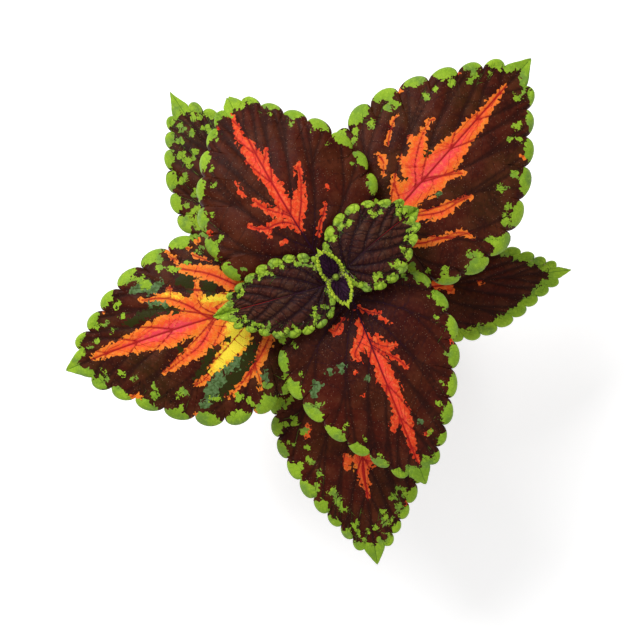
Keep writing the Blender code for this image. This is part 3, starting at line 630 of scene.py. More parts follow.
def unit(vectors):
    """The same directions with length 1."""
    return vectors / np.linalg.norm(vectors, axis=-1, keepdims=True)


def read_off(where, known, rows):
    """Rows at places between the known ones."""
    return np.stack([np.interp(where, known, column) for column in rows.T], axis=1)


def smooth_outline(leaf, half):
    """Half outline without teeth, in blade lengths, from the base to the tip: along, outwards."""
    width = (leaf.half_width[half] - leaf.tooth) / leaf.length
    wide = (leaf.widest, width)
    share = np.linspace(0.0, 1.0, OUTLINE_STEPS)
    low = bezier([(0, 0), (-leaf.heart, BASE_CORNER * width), (-LOBE_REACH * leaf.heart, width), wide], share)
    near_tip = (TIP_SHOULDER, 2 * width * leaf.point[half])
    high = bezier([wide, (leaf.widest + leaf.shoulder, width), near_tip, (1, 0)], share)
    return np.vstack([low, high[1:]])


def outline_share(leaf, count):
    """Share of the half outline at tooth number `count`; past the last tooth it runs on to the tip."""
    even = np.clip(count / leaf.teeth, 0.0, 1.0)
    eased = even - CROWDING * even * (1 - even) * (1 - 2 * even)
    beyond = np.clip(count - leaf.teeth, 0.0, 1.0)
    return MARGIN_START + (1 - leaf.tip - MARGIN_START) * eased + leaf.tip * beyond


def tooth_profile(leaf, count):
    """Height of the margin over its smooth line, as a share of a tooth: 1 on a tooth, below 0 in a notch."""
    across = np.abs(2 * (count % 1.0) - 1)
    lobe = np.clip(1 - across**LOBE_FULLNESS, 0.0, 1.0) ** (1 / LOBE_FULLNESS)
    after = 1 - np.clip((count - leaf.teeth) / TIP_SHOULDER_SHARE, 0.0, 1.0)
    height = np.where(count < leaf.teeth, (1 + NOTCH) * lobe - NOTCH, NOTCH * (np.sqrt(1 - after**2) - 1))
    return height * np.clip(count / FIRST_TEETH, 0.0, 1.0)


def margin(leaf, half, count):
    """Toothed margin at tooth numbers `count`, in blade lengths: along, outwards."""
    smooth = smooth_outline(leaf, half)
    arc = np.concatenate([[0.0], np.cumsum(np.linalg.norm(np.diff(smooth, axis=0), axis=1))])
    arc /= arc[-1]
    share = outline_share(leaf, count)
    before, here, after = (read_off(share + step / OUTLINE_STEPS, arc, smooth) for step in (-1, 0, 1))
    forward = unit(after - before)
    outward = np.stack([-forward[:, 1], forward[:, 0]], axis=1)
    height = tooth_profile(leaf, count) * leaf.tooth / leaf.length
    return here + (outward + TOOTH_LEAN * forward) * height[:, None]


def vein_start(share):
    """Share of the midrib where the mesh row that ends at `share` of the half outline leaves it."""
    return np.clip((share - MARGIN_START) / (1 - MARGIN_START), 0.0, 1.0) ** VEIN_SPREAD


def midrib(leaf, along):
    """Point, direction, left side and upper side of the midrib at shares `along` of its length."""
    fine = np.linspace(0.0, 1.0, MIDRIB_STEPS + 1)
    pitch = np.radians(leaf.pitch[0] + (leaf.pitch[1] - leaf.pitch[0]) * fine**DROOP_SHAPE)
    heading = np.radians(leaf.heading + leaf.sweep * fine)
    way = np.stack([np.cos(pitch) * np.cos(heading), np.cos(pitch) * np.sin(heading), np.sin(pitch)], axis=1)
    steps = (way[1:] + way[:-1]) / 2 * leaf.length / MIDRIB_STEPS
    path = np.array(leaf.base) + np.vstack([[0, 0, 0], np.cumsum(steps, axis=0)])
    within = np.clip(along, 0.0, 1.0)
    ahead = unit(read_off(within, fine, way))
    place = read_off(within, fine, path) + ahead * ((along - within) * leaf.length)[:, None]
    left = unit(np.stack([-ahead[:, 1], ahead[:, 0], 0 * ahead[:, 0]], axis=1))
    return place, ahead, left, np.cross(ahead, left)


def blade_points(leaf, half, count, way_out):
    """Flat place in millimetres and real place of one half at tooth numbers `count`, at share `way_out`."""
    edge = margin(leaf, half, count)
    share = outline_share(leaf, count)
    start = vein_start(share)
    along = start + (edge[:, 0] - start) * way_out**VEIN_BEND
    outwards = edge[:, 1] * way_out * leaf.length
    place, _, left, above = midrib(leaf, along)
    ripple = np.sin(2 * math.pi * leaf.waves * share + RIGHT_HALF_PHASE * half) * np.sin(math.pi * share)
    lift = leaf.fold * outwards - leaf.cup * outwards**2 / np.mean(leaf.half_width)
    lift += leaf.wave * ripple * way_out**2
    lift += leaf.tip_fold * outwards * np.clip((along - TIP_FOLD_FROM) / (1 - TIP_FOLD_FROM), 0.0, 1.0)
    in_teeth = min(max((way_out - CURL_FROM) / (1 - CURL_FROM), 0.0), 1.0)
    lift -= leaf.curl[half] * in_teeth**3
    dome = math.sin(math.pi * in_teeth)
    lift += leaf.puff * dome * np.clip(tooth_profile(leaf, count), 0.0, 1.0)
    sideways = SIDE_SIGNS[half][1] * outwards
    flat = np.stack([along * leaf.length, sideways], axis=1) / MM
    return flat, place + left * sideways[:, None] + above * lift[:, None]


def margin_spot(leaf, half, share):
    """Flat place on the margin at this share of its teeth."""
    return margin(leaf, half, np.array([share * leaf.teeth]))[0] * leaf.length / MM * SIDE_SIGNS[half]


def side_vein(leaf, half, number, first=0.0, last=1.0, steps=VEIN_SAMPLES):
    """Flat points of a side vein, or of a stretch of it."""
    start, end_share = SIDE_VEINS[number]
    end = margin_spot(leaf, half, end_share)
    root = np.array([start * leaf.length / MM, 0.0])
    handle = root + (end - root) * VEIN_START_BEND
    return bezier([root, handle, end], np.linspace(first, last, steps))


def inside(points, strokes):
    """How far inside the widest stroke each flat point lies, in millimetres; negative outside."""
    best = np.full(len(points), FAR_OUTSIDE)
    for path in strokes:
        for a, b in zip(path, path[1:]):
            run = b[:2] - a[:2]
            share = np.clip((points - a[:2]) @ run / max(run @ run, 1e-9), 0.0, 1.0)
            away = np.linalg.norm(points - a[:2] - share[:, None] * run, axis=1)
            best = np.maximum(best, a[2] + (b[2] - a[2]) * share - away)
    return best


def field(points, strokes):
    """The same, with its slope along and outwards, so that a shader can read it a little way off."""
    here = inside(points, strokes)
    slopes = [(inside(points + step, strokes) - here) / FIELD_STEP
              for step in ((FIELD_STEP, 0.0), (0.0, FIELD_STEP))]
    return np.column_stack([here, *slopes])


def tongue_veins(leaf):
    """The veins that the flame's side tongues follow, from the midrib outwards: flat points."""
    paths = []
    for tongue in leaf.flame[1:]:
        path = np.array(tongue, float)[:, :2]
        if len(path) > 2:
            if abs(path[0, 1]) < TONGUE_ROOT:
                along = max(path[0, 0] - abs(path[0, 1]) - TONGUE_BACK, TONGUE_BACK)
                path = np.vstack([(along, 0.0), path])
            for _ in range(TONGUE_ROUNDINGS):
                near, far = path[:-1], path[1:]
                cut = np.stack([0.75 * near + 0.25 * far, 0.25 * near + 0.75 * far], axis=1)
                path = np.vstack([path[:1], cut.reshape(-1, 2), path[-1:]])
            paths.append(path[::2])
    return paths


def vein_paths(leaf):
    """Midrib, side veins and their forks: flat points, first and last radius in millimetres."""
    grown = leaf.length / FULL_LENGTH
    middle = np.column_stack([np.linspace(0.0, MIDRIB_END, VEIN_SAMPLES) * leaf.length / MM,
                              np.zeros(VEIN_SAMPLES)])
    paths = [(middle, MIDRIB_RADIUS[0] * grown, MIDRIB_RADIUS[1] * grown)]
    ends = [0.0] + [share for _, share in SIDE_VEINS]
    for half in (0, 1):
        for number in range(len(SIDE_VEINS)):
            path = side_vein(leaf, half, number, 0.0, SIDE_VEIN_END, steps=22)
            size = SIDE_RADIUS * grown * (1 - 0.4 * number / len(SIDE_VEINS))
            paths.append((path, size, 0.35 * size))
            for fork, aim in FORKS:
                if number + 1 < len(SIDE_VEINS) or aim < 0:
                    root = side_vein(leaf, half, number, fork, 1.0, steps=4)
                    own, other = ends[number + 1], ends[number + (2 if aim > 0 else 0)]
                    end = margin_spot(leaf, half, own + (other - own) * abs(aim))
                    path = bezier([root[0], root[1], end], np.linspace(0.0, FORK_END, 12))
                    paths.append((path, 0.5 * size, 0.25 * size))
    size = SIDE_RADIUS * grown
    return paths + [(path, 0.8 * size, 0.3 * size) for path in tongue_veins(leaf)]


def rung_paths(leaf):
    """Fine veins, like rungs from each side vein to the next: flat points."""
    chance = np.random.default_rng(leaf.seed + 100)
    last = VEIN_SAMPLES - 1
    paths = []
    for half in (0, 1):
        for number in range(len(SIDE_VEINS) - 1):
            near, far = side_vein(leaf, half, number), side_vein(leaf, half, number + 1)
            rungs = int(np.linalg.norm(np.diff(near, axis=0), axis=1).sum() / leaf.rung)
            for rung in range(rungs):
                share = (rung + 0.5 + chance.uniform(-0.4, 0.4)) / rungs
                if share > RUNG_FROM:
                    start = near[int(last * share)]
                    closest = np.linalg.norm(far - start, axis=1).argmin() / last
                    reached = min(closest + RUNG_AHEAD + chance.uniform(-0.07, 0.07), SIDE_VEIN_END)
                    end = far[int(last * reached)]
                    kinks = chance.normal(0.0, RUNG_KINK * np.linalg.norm(end - start), (2, 2))
                    bends = start + (end - start) * np.array([[1 / 3], [2 / 3]]) + kinks
                    paths.append(bezier([start, *bends, end], np.linspace(0.0, 1.0, 8)))
    return paths


WELL_INSIDE = 0.6  # share of the way out, for the direction inwards from the margin
BAND_TOOTH = 13.0  # width of the tooth that a leaf's `band` is given for, millimetres
BAND_PLACES = np.array([0.22, 0.36, 0.5, 0.64, 0.78])  # along a tooth, with the band's width there
BAND_WIDTHS = np.array([0.55, 0.85, 1.0, 0.9, 0.6])
ISLAND_DEPTH = 1.9  # of the nearest green islands, as a share of the band


def strokes_of(paths):
    """Strokes as arrays; a single spot becomes a stroke of no length."""
    return [np.array(path * 2 if len(path) == 1 else path, float) for path in paths]


def flame_strokes(leaf, chance):
    """All that is orange, red or yellow, with a red spot in some notches."""
    strokes = strokes_of(leaf.flame + leaf.gold)
    for half in (0, 1):
        for notch in range(2, leaf.teeth):
            if chance.random() < leaf.sinus:
                flat = from_edge(leaf, half, np.array([notch + 0.02] * 2), 1.0)
                strokes.append(np.column_stack([flat, [chance.uniform(1.0, 2.2)] * 2]))
    return strokes


def from_edge(leaf, half, count, depth):
    """Flat places this deep inside the margin, in millimetres."""
    edge, _ = blade_points(leaf, half, count, 1.0)
    inner, _ = blade_points(leaf, half, count, WELL_INSIDE)
    return edge + unit(inner - edge) * np.reshape(depth, (-1, 1))


def green_strokes(leaf, chance):
    """Green teeth and point, and green islands further in."""
    strokes = []
    number, size, reach = leaf.islands
    for half in (0, 1):
        for tooth in range(leaf.teeth):
            ends = from_edge(leaf, half, np.array([tooth + 0.01, tooth + 0.99]), 0.0)
            pitch = np.linalg.norm(ends[1] - ends[0]) / BAND_TOOTH
            width = leaf.band * pitch * chance.uniform(0.85, 1.15) * BAND_WIDTHS
            middle = from_edge(leaf, half, tooth + BAND_PLACES, 0.8 * width)
            strokes.append(np.column_stack([middle, width]))
            for _ in range(int(number + chance.random())):
                depth = leaf.band * pitch * ISLAND_DEPTH + size * chance.uniform(0.6, 1.0)
                depth += reach * chance.random() ** 2
                path = from_edge(leaf, half, np.array([tooth + chance.uniform(0.1, 0.9)]), depth)
                for _ in range(2):
                    path = np.vstack([path, path[-1] + chance.normal(0.0, 0.9 * size, 2)])
                strokes.append(np.column_stack([path, size * math.sqrt(pitch) * chance.uniform(0.4, 1.1, 3)]))
        count = leaf.teeth + np.linspace(0.08, 0.97, 6)
        wide = leaf.band * leaf.point_band * min(1.6 * pitch, 1.3)
        flat = from_edge(leaf, half, count, 0.5 * wide)
        strokes.append(np.column_stack([flat, wide * np.linspace(0.65, 0.8, 6)]))
        if leaf.rim:
            count = np.linspace(0.6, leaf.teeth, 4 * leaf.teeth)
            middle = from_edge(leaf, half, count, 0.9 * leaf.rim)
            strokes.append(np.column_stack([middle, 0 * count + leaf.rim]))
    if leaf.green_tip < 1:
        long = leaf.length / MM
        point = np.array([(leaf.green_tip * long, 0.0, 1.0), (0.5 * (1 + leaf.green_tip) * long, 0.0, 3.0),
                          (long, 0.0, 3.0)])
        strokes.append(point * (1.0, 1.0, 1 / leaf.grain))
    return strokes


def grid_faces(ids):
    """Quads of a grid of point numbers, with repeated numbers dropped, seen from the upper side."""
    faces = []
    for row, after in zip(ids, ids[1:]):
        for k in range(len(row) - 1):
            corner = tuple(dict.fromkeys([row[k], row[k + 1], after[k + 1], after[k]]))
            if len(corner) > 2:
                faces.append(corner)
    return faces


def blade_sheet(leaf):
    """Grids of tooth-by-column points: flat place, real place and upper side. The last row is the tip."""
    steps, half_columns = round(TOOTH_STEPS * leaf.fineness), round(HALF_COLUMNS * leaf.fineness)
    within = (1 - np.cos(math.pi * np.arange(steps) / steps)) / 2
    toothed = (np.arange(leaf.teeth)[:, None] + within[None, :]).ravel()
    count = np.concatenate([toothed, leaf.teeth + (np.arange(TIP_STEPS + 1) / TIP_STEPS) ** 1.5])
    columns = 2 * half_columns + 1
    flat = np.zeros((len(count), columns, 2))
    place = np.zeros((len(count), columns, 3))
    for half in (0, 1):
        for k, way_out in enumerate(np.linspace(0.0, 1.0, half_columns + 1)):
            column = half_columns + (k if half else -k)
            flat[:, column], place[:, column] = blade_points(leaf, half, count, way_out)
    above = np.cross(np.gradient(place, axis=1), np.gradient(place, axis=0))
    above[-1] = above[-2, half_columns]
    return flat, place, unit(above)


def store(piece, name, values):
    """Keeps a vector for each vertex under this name."""
    layer = piece.data.attributes.new(name, "FLOAT_VECTOR", "POINT")
    layer.data.foreach_set("vector", np.asarray(values, np.float32).ravel())


class Surface:
    """The upper side of a finished blade, found by flat places."""

    def __init__(self, flat, faces, piece):
        self.flat = [Vector((x, y, 0.0)) for x, y in flat]
        self.place = [v.co.copy() for v in piece.data.vertices[:len(flat)]]
        self.corners = [(f[0], a, b) for f in faces for a, b in zip(f[1:], f[2:])]
        self.tree = BVHTree.FromPolygons(self.flat, self.corners)

    def at(self, flat, depth):
        """Real places at this depth under flat ones, both in millimetres."""
        found = []
        for (x, y), sunk in zip(flat, depth):
            spot, _, k, _ = self.tree.find_nearest(Vector((x, y, 0.0)))
            real = [self.place[v] for v in self.corners[k]]
            up = (real[1] - real[0]).cross(real[2] - real[0]).normalized()
            on_blade = barycentric_transform(spot, *[self.flat[v] for v in self.corners[k]], *real)
            found.append(on_blade - up * (sunk * MM))
        return np.array(found)


def areole_tree():
    """Pushes the blade up inside each field of its net of veins."""
    tree, given = new_tree("areoles", Areole="Float")
    flat, rise = (node(tree, "GeometryNodeInputNamedAttribute", {"Name": name}, data_type="FLOAT_VECTOR")
                  for name in ("flat", "rise"))
    scale = node(tree, "ShaderNodeMath", {0: 1.0, 1: given["Areole"]}, operation="DIVIDE")
    cells = node(tree, "ShaderNodeTexVoronoi", {"Vector": flat, "Scale": scale},
                 voronoi_dimensions="2D", feature="DISTANCE_TO_EDGE")
    height = node(tree, "ShaderNodeMapRange", {0: cells, 1: 0.0, 2: 0.32}, interpolation_type="SMOOTHSTEP")
    offset = node(tree, "ShaderNodeVectorMath", {0: rise, "Scale": height}, operation="SCALE")
    raised = node(tree, "GeometryNodeSetPosition", {"Geometry": given["Geometry"], "Offset": offset})
    return close_tree(tree, given, raised)


def blade(leaf, material, tree):
    """The finished blade as one closed sheet; its attributes carry what its material draws."""
    flat, place, above = blade_sheet(leaf)
    rows, columns = flat.shape[:2]
    way_out = np.abs(2 * np.arange(columns) / (columns - 1) - 1)
    points = flat.reshape(-1, 2)
    away, from_rung = (
        -inside(points, [np.column_stack([path, 0 * path[:, 0]]) for path in paths]).reshape(rows, columns)
        for paths in ([path for path, _, _ in vein_paths(leaf)], rung_paths(leaf)))
    fade = np.clip((1 - way_out) / RELIEF_FADE, 0.0, 1.0)[None, :]
    groove = np.exp(-(away * leaf.grain / GROOVE_WIDTH) ** 2)
    groove += RUNG_GROOVE * np.exp(-(from_rung * leaf.grain / GROOVE_WIDTH / RUNG_GROOVE) ** 2)
    groove *= leaf.groove * GROOVE_DEPTH
    swell = leaf.pillow * (1 - np.exp(-(away * leaf.grain / PILLOW_REACH) ** 2)) * fade
    at_margin = np.clip((way_out - THIN_FROM) / (1 - THIN_FROM), 0.0, 1.0)
    thick = leaf.thickness / 2 * (1 - MARGIN_THINNING * at_margin)[None, :]
    upper = place + above * (swell - groove * fade + thick)[..., None]
    lower = place + above * (swell - 2 * groove * fade - thick)[..., None]
    quilted = np.clip((1 - way_out) / QUILT_FADE, 0.0, 1.0)
    quilted = quilted * np.clip((way_out - 0.7) / 0.1, INNER_QUILT, 1.0)
    off_veins = np.clip(np.minimum(away, from_rung) * leaf.grain, 0.0, 1.0)
    rise = above * (leaf.quilt * quilted * off_veins)[..., None]

    last = (rows - 1) * columns
    ids = np.arange(rows * columns).reshape(rows, columns)
    ids[-1] = last
    size = last + 1
    ring = [(0, c) for c in range(columns)] + [(r, columns - 1) for r in range(1, rows - 1)] + [(rows - 1, 0)]
    ring += [(r, 0) for r in range(rows - 2, 0, -1)]
    edge = [ids[r, c] for r, c in ring]
    centre = np.array([place[min(max(r, 1), rows - 2), min(max(c, 1), columns - 2)] for r, c in ring])
    middle = (upper + lower).reshape(-1, 3)[edge] / 2
    outward = middle - centre
    outward /= np.linalg.norm(outward, axis=1, keepdims=True) + 1e-12
    rim = middle + outward * RIM_ROUND

    faces = grid_faces(ids.tolist())
    closed = faces + [tuple(v + size for v in f[::-1]) for f in faces]
    for k, a in enumerate(edge):
        b, a_rim, b_rim = edge[(k + 1) % len(edge)], 2 * size + k, 2 * size + (k + 1) % len(edge)
        closed += [(a, a_rim, b_rim, b), (a_rim, a + size, b + size, b_rim)]
    everything = np.vstack([upper.reshape(-1, 3)[:size], lower.reshape(-1, 3)[:size], rim])
    piece = new_piece(leaf.name + "_blade", everything, closed)

    chance = np.random.default_rng(leaf.seed)
    flames, greens = flame_strokes(leaf, chance), green_strokes(leaf, chance)
    layers = {"blaze": flames, "gold": strokes_of(leaf.gold), "moss": strokes_of(leaf.moss),
              "sage": strokes_of(leaf.sage), "green": greens}
    kept = {name: field(points[:size], strokes) * (leaf.grain, 1.0, 1.0) for name, strokes in layers.items()}
    kept["rise"] = rise.reshape(-1, 3)[:size]
    from_base = np.linalg.norm(points[:size], axis=1) * MM / leaf.length
    kept["reach"] = np.outer(from_base / leaf.dark_base, (1, 1, 1))
    for name, values in kept.items():
        store(piece, name, np.vstack([values, values, values[edge]]))
    side = np.concatenate([np.zeros(size), np.ones(size), np.full(len(edge), 0.3)])
    on_flat = np.vstack([points[:size], points[:size], points[:size][edge]]) * leaf.grain
    on_flat += (leaf.seed * LEAF_SPACING, 0.0)
    store(piece, "flat", np.column_stack([on_flat, side]))
    ribs = np.column_stack([away.ravel()[:size] * leaf.grain, from_rung.ravel()[:size] * leaf.grain,
                            np.full(size, leaf.heat)])
    store(piece, "ribs", np.vstack([ribs, ribs, ribs[edge]]))
    apply_tree(piece, tree, Areole=leaf.areole, Material=material)
    return piece, Surface(points[:size], faces, piece), flames


CELL_FLAME = 2.2  # millimetres across the blocks that the flame is made of
CELL_GREEN = 1.7
LAYERS = (  # a layer's blocks, how far its edge wanders and how far its blocks stray, in millimetres
    ("blaze", CELL_FLAME, 0.8, 0.25),
    ("gold", CELL_FLAME, 1.6, 1.0),
    ("moss", CELL_FLAME, 1.6, 0.4),
    ("sage", CELL_GREEN, 2.2, 1.0),
    ("green", CELL_GREEN, 0.9, 0.40),
)
CELL_FINE = 1.1  # the finest net, drawn only as bump and faint lines
SPECKS = 1.7  # millimetres between the places where a speck of dust may lie
STIR_REACH = 1.4  # how far the blocks are pulled out of shape, millimetres


def leaf_material(name, body, net, net_strength, lime, gap, gap_strength, areole, jagged):
    """Coleus blade: dark satin skin with painted highlights and shade, vein net, jagged flame and lime
    blocks.
    """
    material, tree = plain_material(name)
    flat, ribs = (node(tree, "ShaderNodeAttribute", attribute_name=kept).outputs["Vector"]
                  for kept in ("flat", "ribs"))
    side = node(tree, "ShaderNodeSeparateXYZ", {0: flat}).outputs["Z"]
    vein, rung, heat = node(tree, "ShaderNodeSeparateXYZ", {0: ribs}).outputs
    from_base = node(tree, "ShaderNodeAttribute", attribute_name="reach").outputs["Fac"]
    stir, ragged, patches, light_and_shade_patches, mottle_and_highlights = (
        node(tree, "ShaderNodeTexNoise", {"Vector": flat, "Scale": 1 / size, "Detail": detail},
             noise_dimensions="2D")
        for size, detail in ((3.0, 0.5), (3.6, 0.5), (26.0, 4.0), (13.0, 3.0), (2.4, 4.0)))
    centred = node(tree, "ShaderNodeVectorMath", {0: stir.outputs["Color"], 1: (0.5, 0.5, 0.5)},
                   operation="SUBTRACT")
    pulled = node(tree, "ShaderNodeVectorMath", {0: centred, "Scale": STIR_REACH}, operation="SCALE")
    stirred = node(tree, "ShaderNodeVectorMath", {0: flat, 1: pulled}, operation="ADD")

    depth = {}  # of the nearest block's middle inside a layer's strokes
    for layer, size, reach, scatter in LAYERS:
        grid = node(tree, "ShaderNodeTexVoronoi", {"Vector": stirred, "Scale": 1 / size},
                    voronoi_dimensions="2D").outputs
        away = node(tree, "ShaderNodeVectorMath", {0: grid["Position"], 1: stirred}, operation="SUBTRACT")
        along, outwards, _ = node(tree, "ShaderNodeSeparateXYZ", {0: away}).outputs
        factors = node(tree, "ShaderNodeCombineXYZ", {0: 1.0, 1: along, 2: outwards})
        stroke = node(tree, "ShaderNodeAttribute", attribute_name=layer).outputs["Vector"]
        tint = node(tree, "ShaderNodeSeparateXYZ", {0: grid["Color"]}).outputs["Z"]
        value = node(tree, "ShaderNodeVectorMath", {0: stroke, 1: factors},
                     operation="DOT_PRODUCT").outputs["Value"]
        for more, low, high, swing in ((ragged, 0.2, 0.8, reach), (tint, 0.0, 1.0, scatter)):
            shift = node(tree, "ShaderNodeMapRange",
                         {0: more, 1: low, 2: high, 3: -swing * jagged, 4: swing * jagged})
            value = node(tree, "ShaderNodeMath", {0: value, 1: shift}, operation="ADD")
        depth[layer] = value

    edges, fine = (node(tree, "ShaderNodeTexVoronoi", {"Vector": on, "Scale": 1 / size},
                        voronoi_dimensions="2D", feature="DISTANCE_TO_EDGE")
                   for on, size in ((flat, areole), (stirred, CELL_FINE)))
    specks = node(tree, "ShaderNodeTexVoronoi", {"Vector": flat, "Scale": 1 / SPECKS},
                  voronoi_dimensions="2D")
    draw = node(tree, "ShaderNodeSeparateXYZ", {0: specks.outputs["Color"]}).outputs["X"]
    dusty = node(tree, "ShaderNodeMapRange", {0: draw, 1: 0.78, 2: 0.82})
    dot = node(tree, "ShaderNodeMapRange", {0: specks, 1: 0.06, 2: 0.13, 3: 0.5, 4: 0.0})
    dust = node(tree, "ShaderNodeMath", {0: dot, 1: dusty}, operation="MULTIPLY")

    # In the skin, the third body colour is a painted highlight, in broad soft patches and in small spots; the
    # net colour in the broad patches is painted shade.
    skin = painted(tree, body[0],
                   (patches, 0.42, 0.60, body[1]),
                   (heat, 0.0, 1.0, 0.0, 0.5, "#4a1206"),
                   (light_and_shade_patches, 0.50, 0.68, 0.0, 0.5, body[2]),
                   (from_base, 0.1, 1.0, 0.75, 0.0, "#1c0810"),
                   (light_and_shade_patches, 0.46, 0.32, 0.0, 0.5, net),
                   (mottle_and_highlights, 0.50, 0.75, 0.0, 0.4, body[2]),
                   (edges, 0.0, 0.15, 0.3 * net_strength, 0.0, net),
                   (rung, 0.15, 0.8, 0.9 * net_strength, 0.0, net),
                   (vein, 0.3, 1.8, 0.5 + 0.4 * net_strength, 0.0, net),
                   (dust, 0.0, 1.0, "#a5856c"))
    blaze, gold = depth["blaze"], depth["gold"]
    orange = painted(tree, "#f08a2a",
                     (blaze, 0.5, 2.4, "#ee6a22"),
                     (blaze, 2.4, 5.0, "#f0502c"),
                     (blaze, 4.8, 8.2, "#ec4452"))
    red = painted(tree, "#d23c1a",
                  (blaze, 0.3, 2.4, "#e64824"),
                  (blaze, 2.4, 4.5, "#ec4636"))
    flame = painted(tree, orange,
                    (heat, 0.0, 1.0, red),
                    (mottle_and_highlights, 0.48, 0.75, 0.0, 0.5, "#f98e4c"),
                    (gold, -1.5, 1.2, "#f8a42c"),
                    (gold, 0.4, 3.0, "#f4dc3c"),
                    (fine, 0.0, 0.10, 0.35, 0.0, "#a82412"),
                    (rung, 0.1, 0.6, 0.4, 0.0, "#b82414"),
                    (vein, 0.3, 1.0, 0.8, 0.0, "#981414"))
    # In the green, the third lime colour is a painted highlight in small spots, and the olive in broad
    # patches is painted shade.
    green = painted(tree, lime[0],
                    (patches, 0.40, 0.62, lime[1]),
                    (light_and_shade_patches, 0.52, 0.66, 0.0, 0.7, "#6c8c3c"),
                    (mottle_and_highlights, 0.50, 0.80, 0.0, 0.6, lime[2]),
                    (fine, 0.0, 0.10, 0.35, 0.0, gap),
                    (edges, 0.0, 0.15, gap_strength, 0.0, gap))
    sage = painted(tree, "#5f7a4c", (mottle_and_highlights, 0.40, 0.65, "#3f5628"))
    covers = (("blaze", flame), ("moss", "#2c2c0a"), ("sage", sage), ("green", green))
    colour = painted(tree, skin,
                     *((depth[layer], -0.08, 0.08, over) for layer, over in covers),
                     (side, 0.35, 0.9, 0.0, 0.55, "#a98a7e"))

    ridges = node(tree, "ShaderNodeMapRange", {0: fine, 1: 0.0, 2: 0.25})
    grain = node(tree, "ShaderNodeMath", {0: ridges, 1: mottle_and_highlights}, operation="ADD")
    satin = node(tree, "ShaderNodeMapRange", {0: mottle_and_highlights, 1: 0.3, 2: 0.7, 3: 0.36, 4: 0.50})
    return finish_material(material, {"Base Color": colour, "Roughness": satin, "Specular IOR Level": 0.07},
                           grain, 0.12 * MM, 0.5)


def vein_material():
    """Veins: purple-black at the base, dark red in the flame, elsewhere a shade darker than the blade."""
    material, tree = plain_material("leaf_vein")
    tone = node(tree, "ShaderNodeAttribute", attribute_name="tone").outputs["Vector"]
    lit, base, lime = node(tree, "ShaderNodeSeparateXYZ", {0: tone}).outputs
    colour = painted(tree, "#2e1009",
                     (lit, 0.0, 1.0, "#a01618"),
                     (base, 0.0, 1.0, "#2a0c22"),
                     (lime, 0.0, 1.0, "#527420"))
    place = node(tree, "ShaderNodeTexCoord").outputs["Object"]
    grain = node(tree, "ShaderNodeTexNoise", {"Vector": place, "Scale": 1 / (0.8 * MM), "Detail": 3.0})
    return finish_material(material, {"Base Color": colour, "Roughness": 0.5, "Specular IOR Level": 0.08},
                           grain, 0.1 * MM)


def stalk_material():
    """Stalk and stem skin: fresh green streaked lengthways and flushed purple."""
    material, tree = plain_material("stalk_skin")
    place = node(tree, "ShaderNodeTexCoord").outputs["Object"]
    long = node(tree, "ShaderNodeVectorMath", {0: place, 1: (1.0, 1.0, 0.25)}, operation="MULTIPLY")
    flush, streaks = (
        node(tree, "ShaderNodeTexNoise", {"Vector": long, "Scale": 1 / (size * MM), "Detail": detail})
        for size, detail in ((7.0, 5.0), (0.9, 2.0)))
    colour = painted(tree, "#6f8a3a",
                     (flush, 0.35, 0.60, 0.0, 0.9, "#6c2f46"),
                     (streaks, 0.50, 0.80, 0.0, 0.6, "#3c1c2b"))
    return finish_material(material, {"Base Color": colour, "Roughness": 0.45, "Sheen Weight": 0.2},
                           streaks, 0.15 * MM)


def tube_tree():
    """Turns chains of edges into round tubes as thick as their `size` says."""
    tree, given = new_tree("tubes", Sides="Int")
    lines = node(tree, "GeometryNodeMeshToCurve", {0: given["Geometry"]})
    ring = node(tree, "GeometryNodeCurvePrimitiveCircle", {"Resolution": given["Sides"], "Radius": 1.0})
    size = node(tree, "GeometryNodeInputNamedAttribute", {"Name": "size"}, data_type="FLOAT_VECTOR")
    radius = node(tree, "ShaderNodeSeparateXYZ", {0: size})
    made = node(tree, "GeometryNodeCurveToMesh",
                {"Curve": lines, "Profile Curve": ring, "Scale": radius, "Fill Caps": True})
    return close_tree(tree, given, made)


def tubes(name, paths, sides, material, tree, tones=None):
    """One piece of round tubes; each path has rows of x, y, z and radius."""
    points, edges = [], []
    for path in paths:
        edges += [(len(points) + k, len(points) + k + 1) for k in range(len(path) - 1)]
        points += [tuple(row) for row in path]
    points = np.array(points)
    piece = new_piece(name, points[:, :3], [], edges=edges)
    store(piece, "size", np.repeat(points[:, 3:4], 3, axis=1))
    if tones is not None:
        store(piece, "tone", tones)
    apply_tree(piece, tree, Sides=sides, Material=material)
    piece.data.shade_smooth()
    return piece


def vein_tubes(leaf, surface, flames, greens, material, tree):
    """Midrib, side veins, forks and rungs, pressed into the upper side and standing out below."""
    paths, tones = [], []
    rung = RUNG_RADIUS / math.sqrt(leaf.grain)
    rungs = [(path, rung, rung) for path in rung_paths(leaf)]
    for number, (flat, first, last) in enumerate(vein_paths(leaf) + rungs):
        radii = first + (last - first) * np.linspace(0.0, 1.0, len(flat)) ** VEIN_TAPER
        real = surface.at(flat, VEIN_SINK * radii)
        paths.append(np.column_stack([real, radii * MM]))
        lit = np.clip(inside(flat, flames) / 1.5 + 0.5, 0.0, 1.0)
        from_base = np.linalg.norm(flat, axis=1) * MM / leaf.length
        if number == 0:
            lit = np.maximum(lit, leaf.blush * np.clip(2.5 * from_base - 0.5, 0.0, 1.0))
        lime = np.clip(inside(flat, greens) + 0.5, 0.0, 1.0)
        base = np.clip(1.5 - 1.5 * from_base / leaf.dark_base, 0.0, 1.0)
        tones.append(np.column_stack([lit, base, lime]))
    return tubes(leaf.name + "_veins", paths, VEIN_SIDES, material, tree, np.vstack(tones))


